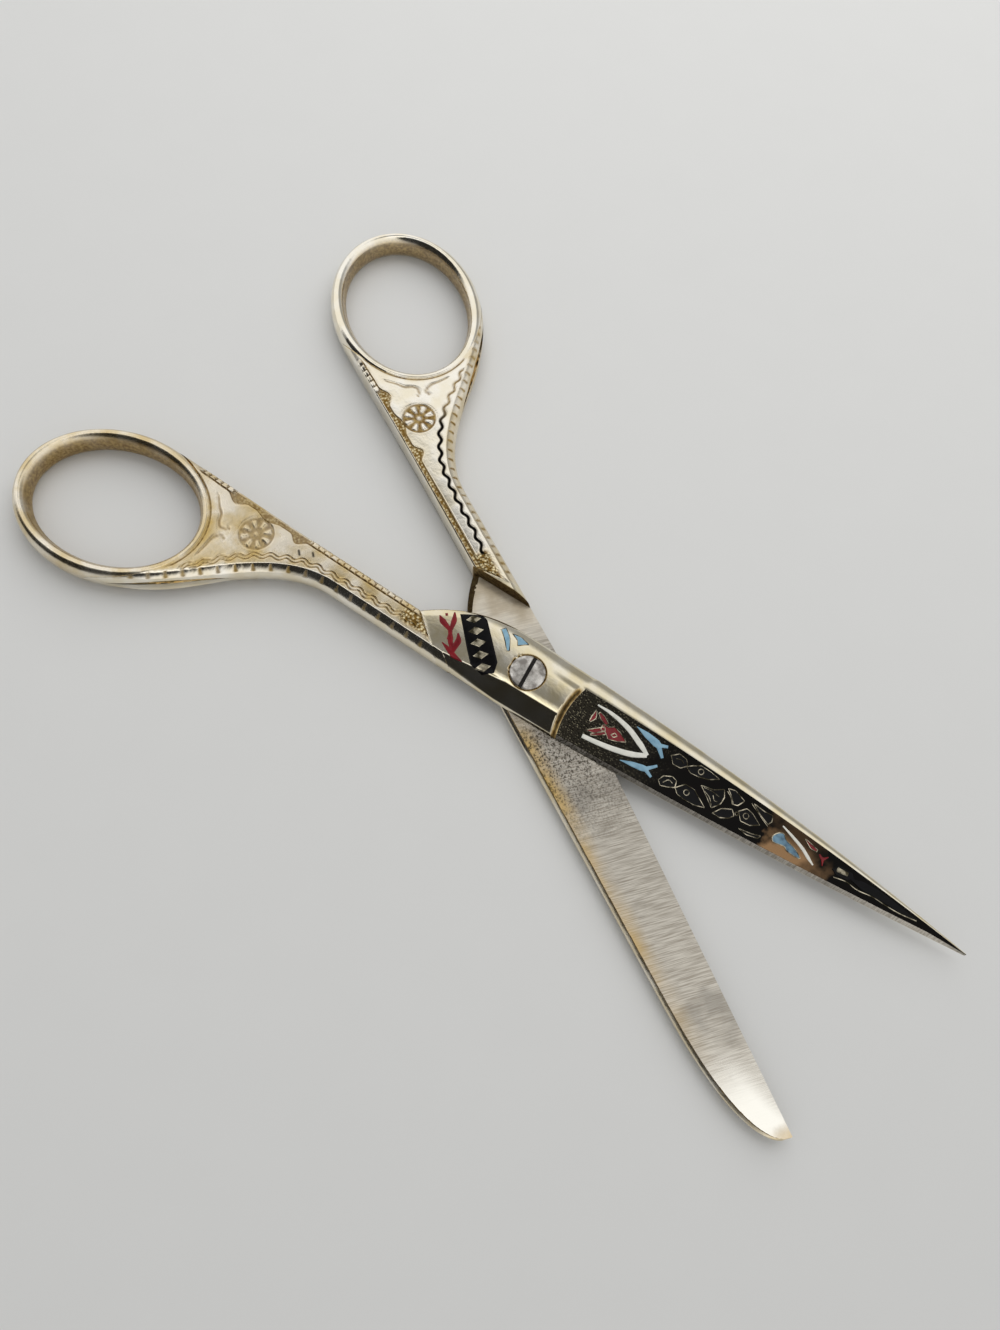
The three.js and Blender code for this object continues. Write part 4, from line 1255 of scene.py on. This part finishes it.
def gilt_plating():
    """Thin pale gold plating on polished steel.

    It mirrors the room softly. In the cuts, where polishing does not reach, it is brown and dull, a brown
    haze lies beside them, and punched ground is pebbled. Past 1 the brown turns near black: in the darkest
    cut lines, along the back edge of the rubbing face, as painted shade on the walls of the shoulder and the
    step, and as grime and painted shade round the screw. On the joint the gold has worn thin, so that it is
    greyer and smoother.
    """
    material, add, shader = new_material("pale_gold_plating")
    place = millimetres(add)
    cloud = add("TexNoise", {"Vector": place, "Scale": 1 / 3.5, "Detail": 5.0})
    fine = add("TexNoise", {"Vector": place, "Scale": 1 / 0.45, "Detail": 5.0})
    pebble = add("TexVoronoi", {"Vector": place, "Scale": 1 / 0.42})
    recess, ink, grain, wear, patina = (
        add("Attribute", output="Fac", attribute_name=key)
        for key in ("recess", "ink", "grain", "wear", "patina")
    )
    uneven = add("MapRange", {0: cloud, 1: 0.3, 2: 0.62, 3: 1.3, 4: 0.45})
    layers = (
        (wear, two_tones(add, cloud, (0.25, 0.75), ("#dccda3", "#ece7da"))),
        (add("Math", {0: patina, 1: uneven}, operation="MULTIPLY"), linear("#c6aa6b")),
        (recess, two_tones(add, fine, (0.35, 0.65), ("#755729", "#b49a64"))),
        # Near black past 1: painted shade on the shoulder's and step's walls, grime and shade round the
        # screw, darkest lines
        (add("MapRange", {0: recess, 1: 1.0, 2: 1.6}), linear("#1d1712")),
        (grain, two_tones(add, pebble, (0.2, 0.6), ("#efe0b4", "#80632f"))),
        (ink, linear("#0b0a09")),
    )
    colour = two_tones(add, cloud, (0.4, 0.62), ("#efe6d0", "#f7f2e6"))
    for share, over in layers:
        colour = add("Mix", {0: share, 6: colour, 7: over}, 2, data_type="RGBA")
    rough = add("MapRange", {0: cloud, 1: 0.35, 2: 0.65, 3: 0.09, 4: 0.16})
    for layer, gain in ((wear, -0.02), (patina, 0.2), (recess, 0.32)):
        rough = add("Math", {0: layer, 1: gain, 2: rough}, operation="MULTIPLY_ADD")
    stone = add("Math", {0: pebble, 1: grain}, operation="MULTIPLY")
    bump = add("Bump", {"Height": stone, "Strength": 0.6, "Distance": 0.1 * MM})
    flat = add("MapRange", {0: wear, 3: 1.0, 4: 0.15})
    wave = add("Math", {0: cloud, 1: flat}, operation="MULTIPLY")
    for height, strength, depth in ((fine, 0.12, 0.05), (wave, 0.35, 0.25)):
        swell = {"Height": height, "Strength": strength, "Distance": depth * MM, "Normal": bump}
        bump = add("Bump", swell)
    plug(shader, {"Base Color": colour, "Metallic": 1.0, "Roughness": rough, "Normal": bump})
    return material


def worn_walls():
    """The thin walls of metal between the enamel: silvery where they are rubbed, dark where they are not."""
    colours = ("#403b2d", "#dcd2b8")
    material, add, shader, patch = clouded("rubbed_metal_walls", 1.1, 4.0, (0.4, 0.68), colours)
    rough = add("MapRange", {0: patch, 3: 0.35, 4: 0.15})
    plug(shader, {"Metallic": 1.0, "Roughness": rough})
    return material


# Lengths along the front blade where the punching fades out and where the worn patch starts and ends, and the
# heights across the blade between which that patch fades
PUNCHED_RUN = (8.5, 24.0)
WORN_START = (39.5, 41.5)
WORN_END = (45.0, 50.0)
WORN_ACROSS = (1.2, -0.3)


def blackened_panel():
    """Blackened, polished metal behind the enamel.

    Beside the step it is punched full of fine dots, each with a painted glint. Further on it is a dark
    mirror, and between the lace and the point its black has worn through to gold.
    """
    material, add, shader = new_material("blackened_punched_metal")
    along = millimetres(add, -OPEN_ANGLE / 2)
    x, y, _ = add("SeparateXYZ", {0: along}).node.outputs
    dot = add("TexVoronoi", {"Vector": along, "Scale": 1 / 0.3})
    cloud = add("TexNoise", {"Vector": along, "Scale": 1 / 2.6, "Detail": 3.0})
    shift = add("MapRange", {0: cloud, 1: 0.3, 2: 0.7, 3: -2.0, 4: 2.0})
    place = add("Math", {0: x, 1: shift}, operation="ADD")
    ramps = (
        (place, *PUNCHED_RUN, 1.0, 0.0),
        (place, *WORN_START),
        (place, *WORN_END, 1.0, 0.0),
        (y, *WORN_ACROSS, 0.15, 0.9),
        (dot, 0.32, 0.12),
        (cloud, 0.3, 0.7, 0.14, 0.24),
    )
    punched, rise, fall, low, bright, rough = (
        add("MapRange", dict(enumerate(ramp))) for ramp in ramps
    )
    patch = add("Math", {0: rise, 1: fall}, operation="MULTIPLY")
    worn, dot_glint, height = (
        add("Math", {0: a, 1: b}, operation="MULTIPLY")
        for a, b in ((patch, low), (bright, punched), (dot, punched))
    )
    colour = linear("#141312")
    # Over the black: the punched ground, a painted glint at each dot's middle, and the worn patch
    for share, over in ((punched, "#2d2a23"), (dot_glint, "#968f78"), (worn, "#8f7050")):
        colour = add("Mix", {0: share, 6: colour, 7: linear(over)}, 2, data_type="RGBA")
    bump = add("Bump", {"Height": height, "Strength": 0.7, "Distance": 0.1 * MM})
    plug(shader, {"Base Color": colour, "Metallic": 1.0, "Roughness": rough, "Normal": bump})
    return material


# Grinding lines: their slant, and their width and length, drawn as coarse as they need to show
GRIND_SLANT = 12.0
GRIND_SIZE = (0.14, 3.4, 1)
# Lengths along a blade where its pits start and where they fade out
PITS_START = (3.0, 9.0)
PITS_END = (14.0, 27.0)


def ground_steel(name, angle):
    """Bare steel ground across the blade.

    Fine lines run across it, a little slanted. Fine dark pits pepper it near the pivot, a yellow stain lies
    along the back and on the seat, and grey smudges lie further out.
    """
    material, add, shader = new_material(name)
    lines = millimetres(add, GRIND_SLANT - angle, GRIND_SIZE)
    flat = millimetres(add, -angle)
    x = add("SeparateXYZ", {0: flat})
    grind = add("TexNoise", {"Vector": lines, "Scale": 1.0, "Detail": 3.0})
    cloud = add("TexNoise", {"Vector": flat, "Scale": 1 / 6.0, "Detail": 5.0})
    pit = add("TexNoise", {"Vector": flat, "Scale": 1 / 0.3, "Detail": 4.0, "Roughness": 0.7})
    stain, polish_and_painted_sheen, mirror = (
        add("Attribute", output="Fac", attribute_name=key)
        for key in ("stain", "polish_and_painted_sheen", "mirror")
    )
    ramps = (
        (grind, 0.36, 0.62),
        (cloud, 0.5, 0.66, 0.0, 0.5),
        (cloud, 0.35, 0.65, 0.2, 1.0),
        (x, *PITS_START),
        (x, *PITS_END, 1.0, 0.0),
        (pit, 0.5, 0.58, 0.0, 0.9),
        (grind, 0.3, 0.7, 0.3, 0.42),
    )
    line, smudge, patch, rise, fall, deep, rough = (
        add("MapRange", dict(enumerate(ramp))) for ramp in ramps
    )
    yellow = add("Math", {0: stain, 1: patch}, operation="MULTIPLY")
    near = add("Math", {0: rise, 1: fall}, operation="MULTIPLY")
    pitted = add("Math", {0: deep, 1: near}, operation="MULTIPLY")
    # Near white where polishing is high: painted sheen on the seat, and on the nose over its real polishing
    layers = (
        (line, "#d2ccc0"),
        (polish_and_painted_sheen, "#fffcf2"),
        (smudge, "#87827a"),
        (yellow, "#d8b671"),
        (pitted, "#3d352a"),
    )
    colour = linear("#a59d90")
    for share, over in layers:
        colour = add("Mix", {0: share, 6: colour, 7: linear(over)}, 2, data_type="RGBA")
    rough = add("Math", {0: mirror, 1: -0.24, 2: rough}, operation="MULTIPLY_ADD")
    bump = add("Bump", {"Height": grind, "Strength": 0.28, "Distance": 0.04 * MM})
    plug(shader, {"Base Color": colour, "Metallic": 1.0, "Roughness": rough, "Normal": bump})
    return material


def enamel(name, colours, gloss=0.3):
    """Glossy enamel melted into its bed: coloured glass with faint clouds and a slightly wavy top."""
    material, add, shader, cloud = clouded(name, 0.8, 3.0, (0.35, 0.7), colours)
    rough = add("MapRange", {0: cloud, 3: 0.1, 4: 0.24})
    bump = add("Bump", {"Height": cloud, "Strength": 0.25, "Distance": 0.06 * MM})
    plug(shader, {"Specular IOR Level": gloss, "Roughness": rough, "Normal": bump})
    return material


# Scratches on the screw: their direction, and their width and length, drawn as coarse as they need to show
SCRATCH_ANGLE = 35
SCRATCH_SIZE = (0.12, 1.6, 1)


def nickel_plating():
    """Worn nickel plating on the screw: grey, with dull smudges and scratches from drivers and cloths."""
    colours = ("#8d8882", "#d6d2cb")
    material, add, shader, cloud = clouded("worn_nickel_plating", 0.9, 4.0, (0.38, 0.62), colours)
    place = millimetres(add, SCRATCH_ANGLE, SCRATCH_SIZE)
    scratch = add("TexNoise", {"Vector": place, "Scale": 1.0, "Detail": 3.0})
    rough = add("MapRange", {0: cloud, 1: 0.3, 2: 0.7, 3: 0.38, 4: 0.22})
    bump = add("Bump", {"Height": scratch, "Strength": 0.3, "Distance": 0.04 * MM})
    plug(shader, {"Metallic": 1.0, "Roughness": rough, "Normal": bump})
    return material


def slot_grime():
    """Oil and dust packed into the slot: nearly black and dull, with paler crumbs."""
    material, add, shader, crumb = clouded("slot_grime", 0.15, 3.0, (0.5, 0.75), ("#0d0b0a", "#2e2822"))
    plug(shader, {"Roughness": add("MapRange", {0: crumb, 3: 0.6, 4: 0.9})})
    return material


gilt = gilt_plating()
panel = blackened_panel()
back_sheets = half_sheets(BluntBlade(), False)
for node, body, sheets, angle in (
    ("pointed_half", "front", front_sheets, OPEN_ANGLE / 2),
    ("blunt_half", "back", back_sheets, -OPEN_ANGLE / 2),
):
    steel = ground_steel(f"ground_steel_{body}", angle)
    make_half(node, body, sheets, body == "front", [gilt, panel, steel])
enamels = {
    "red": enamel("red_enamel", ("#7d131b", "#5e0b12")),
    "white": enamel("white_enamel", ("#e2e0d6", "#cfd0c6")),
    "blue": enamel("blue_enamel", ("#88adc0", "#7096ac")),
    "blue_point_leaf": enamel("dulled_blue_enamel", ("#6d8fa3", "#425a6b")),
    "black": enamel("black_enamel", ("#080808", "#0e0d0f"), 0.1),
}
make_inlays(enamels, worn_walls())
make_screw(nickel_plating(), slot_grime())

# Camera, as the photograph was taken, for an image of 1000 by 1330 pixels
IMAGE_HEIGHT = 1330
FOCAL_PIXELS = 1000
SENSOR = 36.0
CAMERA_PLACE = Vector((27.9, -42.1, 138.8))
CAMERA_TARGET = Vector((-4.5, -0.9, 0.0))
CAMERA_HEADING = 138.0
CAMERA_CLIP = 5.0


def put_object(name, data, place, turn):
    """An object at a place in millimetres, turned by a rotation."""
    holder = bpy.data.objects.new(name, data)
    holder.matrix_world = Matrix.Translation(place * MM) @ turn.to_4x4()
    bpy.context.scene.collection.objects.link(holder)
    return holder


def make_camera():
    """A camera at its place, looking at its target, with the image's upper edge at a heading on the floor."""
    camera = bpy.data.cameras.new("camera")
    camera.sensor_fit = "VERTICAL"
    camera.sensor_height = SENSOR
    camera.lens = SENSOR * FOCAL_PIXELS / IMAGE_HEIGHT
    camera.clip_start = CAMERA_CLIP * MM
    forward = (CAMERA_TARGET - CAMERA_PLACE).normalized()
    right = forward.cross(Vector((*heading(1, CAMERA_HEADING), 0))).normalized()
    turn = Matrix((right, right.cross(forward), -forward)).transposed()
    bpy.context.scene.camera = put_object("camera", camera, CAMERA_PLACE, turn)


FLOOR_HALF = 1500.0
FLOOR_DROP = 0.02
PALE_BOARD = "#d8d8d6"


def make_floor():
    """A plain pale board under the scissors, matt, with the faintest mottling of card."""
    colours = (PALE_BOARD, "#d6d6d4")
    material, _, shader, _ = clouded("pale_matt_board", 9.0, 3.0, (0.0, 1.0), colours)
    plug(shader, {"Roughness": 0.8, "Specular IOR Level": 0.1})
    corners = np.array([(-1, -1, 0), (1, -1, 0), (1, 1, 0), (-1, 1, 0)]) * FLOOR_HALF
    make_piece("floor", corners - [0, 0, FLOOR_DROP], [[0, 1, 2, 3]], [material])


# The room that the metal mirrors: white, with a dark side where the viewer stands, a dim patch overhead where
# the camera is held, a dim wall behind, and a brighter strip between the camera and the dark side
# Each has its place and half size across and along the sky, the shares of that size where it starts to fade
# and ends, and its level
DARK_SIDE = ((-0.12, -0.64), (0.75, 0.46), (0.8, 1.05), 0.025)
DIM_WALL = ((-0.15, 0.84), (0.65, 0.27), (0.45, 1.05), 0.36)
DIM_OVERHEAD = ((-0.2, 0.2), (0.27, 0.15), (0.6, 1.3), 0.26)
BRIGHT_STRIP = ((-0.1, -0.07), (0.6, 0.08), (0.3, 1.1), 1.6)
ROOM_LIGHT = 0.56


def make_world():
    """Even soft light for what is matt, and for metal and glass the room that they mirror."""
    world = bpy.data.worlds.new("soft_room")
    world.cycles.sampling_method = "NONE"
    add = empty_tree(world)
    direction = add("TexCoord", output="Generated")
    room = 1.0
    for place, half, (inner, outer), level in (DARK_SIDE, DIM_WALL, DIM_OVERHEAD, BRIGHT_STRIP):
        shift = (-place[0] / half[0], -place[1] / half[1], 0)
        patch = {"Vector": direction, "Location": shift, "Scale": (1 / half[0], 1 / half[1], 0)}
        patch = add("Mapping", patch)
        reach = add("VectorMath", {0: patch}, "Value", operation="LENGTH")
        shade = add("MapRange", {0: reach, 1: inner, 2: outer, 3: level, 4: 1.0})
        room = add("Math", {0: shade, 1: room}, operation="MULTIPLY")
    is_mirrored, is_seen = (add("LightPath", output=f"Is {ray} Ray") for ray in ("Glossy", "Camera"))
    even = (ROOM_LIGHT, ROOM_LIGHT, ROOM_LIGHT, 1.0)
    light = add("Mix", {0: is_mirrored, 6: even, 7: room}, 2, data_type="RGBA")
    backdrop = tuple(ROOM_LIGHT * channel for channel in linear(PALE_BOARD))
    colour = add("Mix", {0: is_seen, 6: light, 7: backdrop}, 2, data_type="RGBA")
    background = add("Background", {"Color": colour, "Strength": 1.0})
    add("OutputWorld", {"Surface": background})
    bpy.context.scene.world = world


SOFT_BOX_PLACE = Vector((-140, 220, 300))
SOFT_BOX_SIZE = 520.0
SOFT_BOX_POWER = 1.1


def make_soft_box():
    """A large square soft lamp above the image's upper edge, turned to the pivot, unseen by mirrors."""
    lamp = bpy.data.lights.new("soft_box", "AREA")
    lamp.size = SOFT_BOX_SIZE * MM
    lamp.energy = SOFT_BOX_POWER
    turn = (-SOFT_BOX_PLACE).to_track_quat("-Z", "Y").to_matrix()
    put_object("soft_box", lamp, SOFT_BOX_PLACE, turn).visible_glossy = False


make_camera()
make_floor()
make_world()
make_soft_box()
bpy.context.scene.view_settings.view_transform = "Standard"
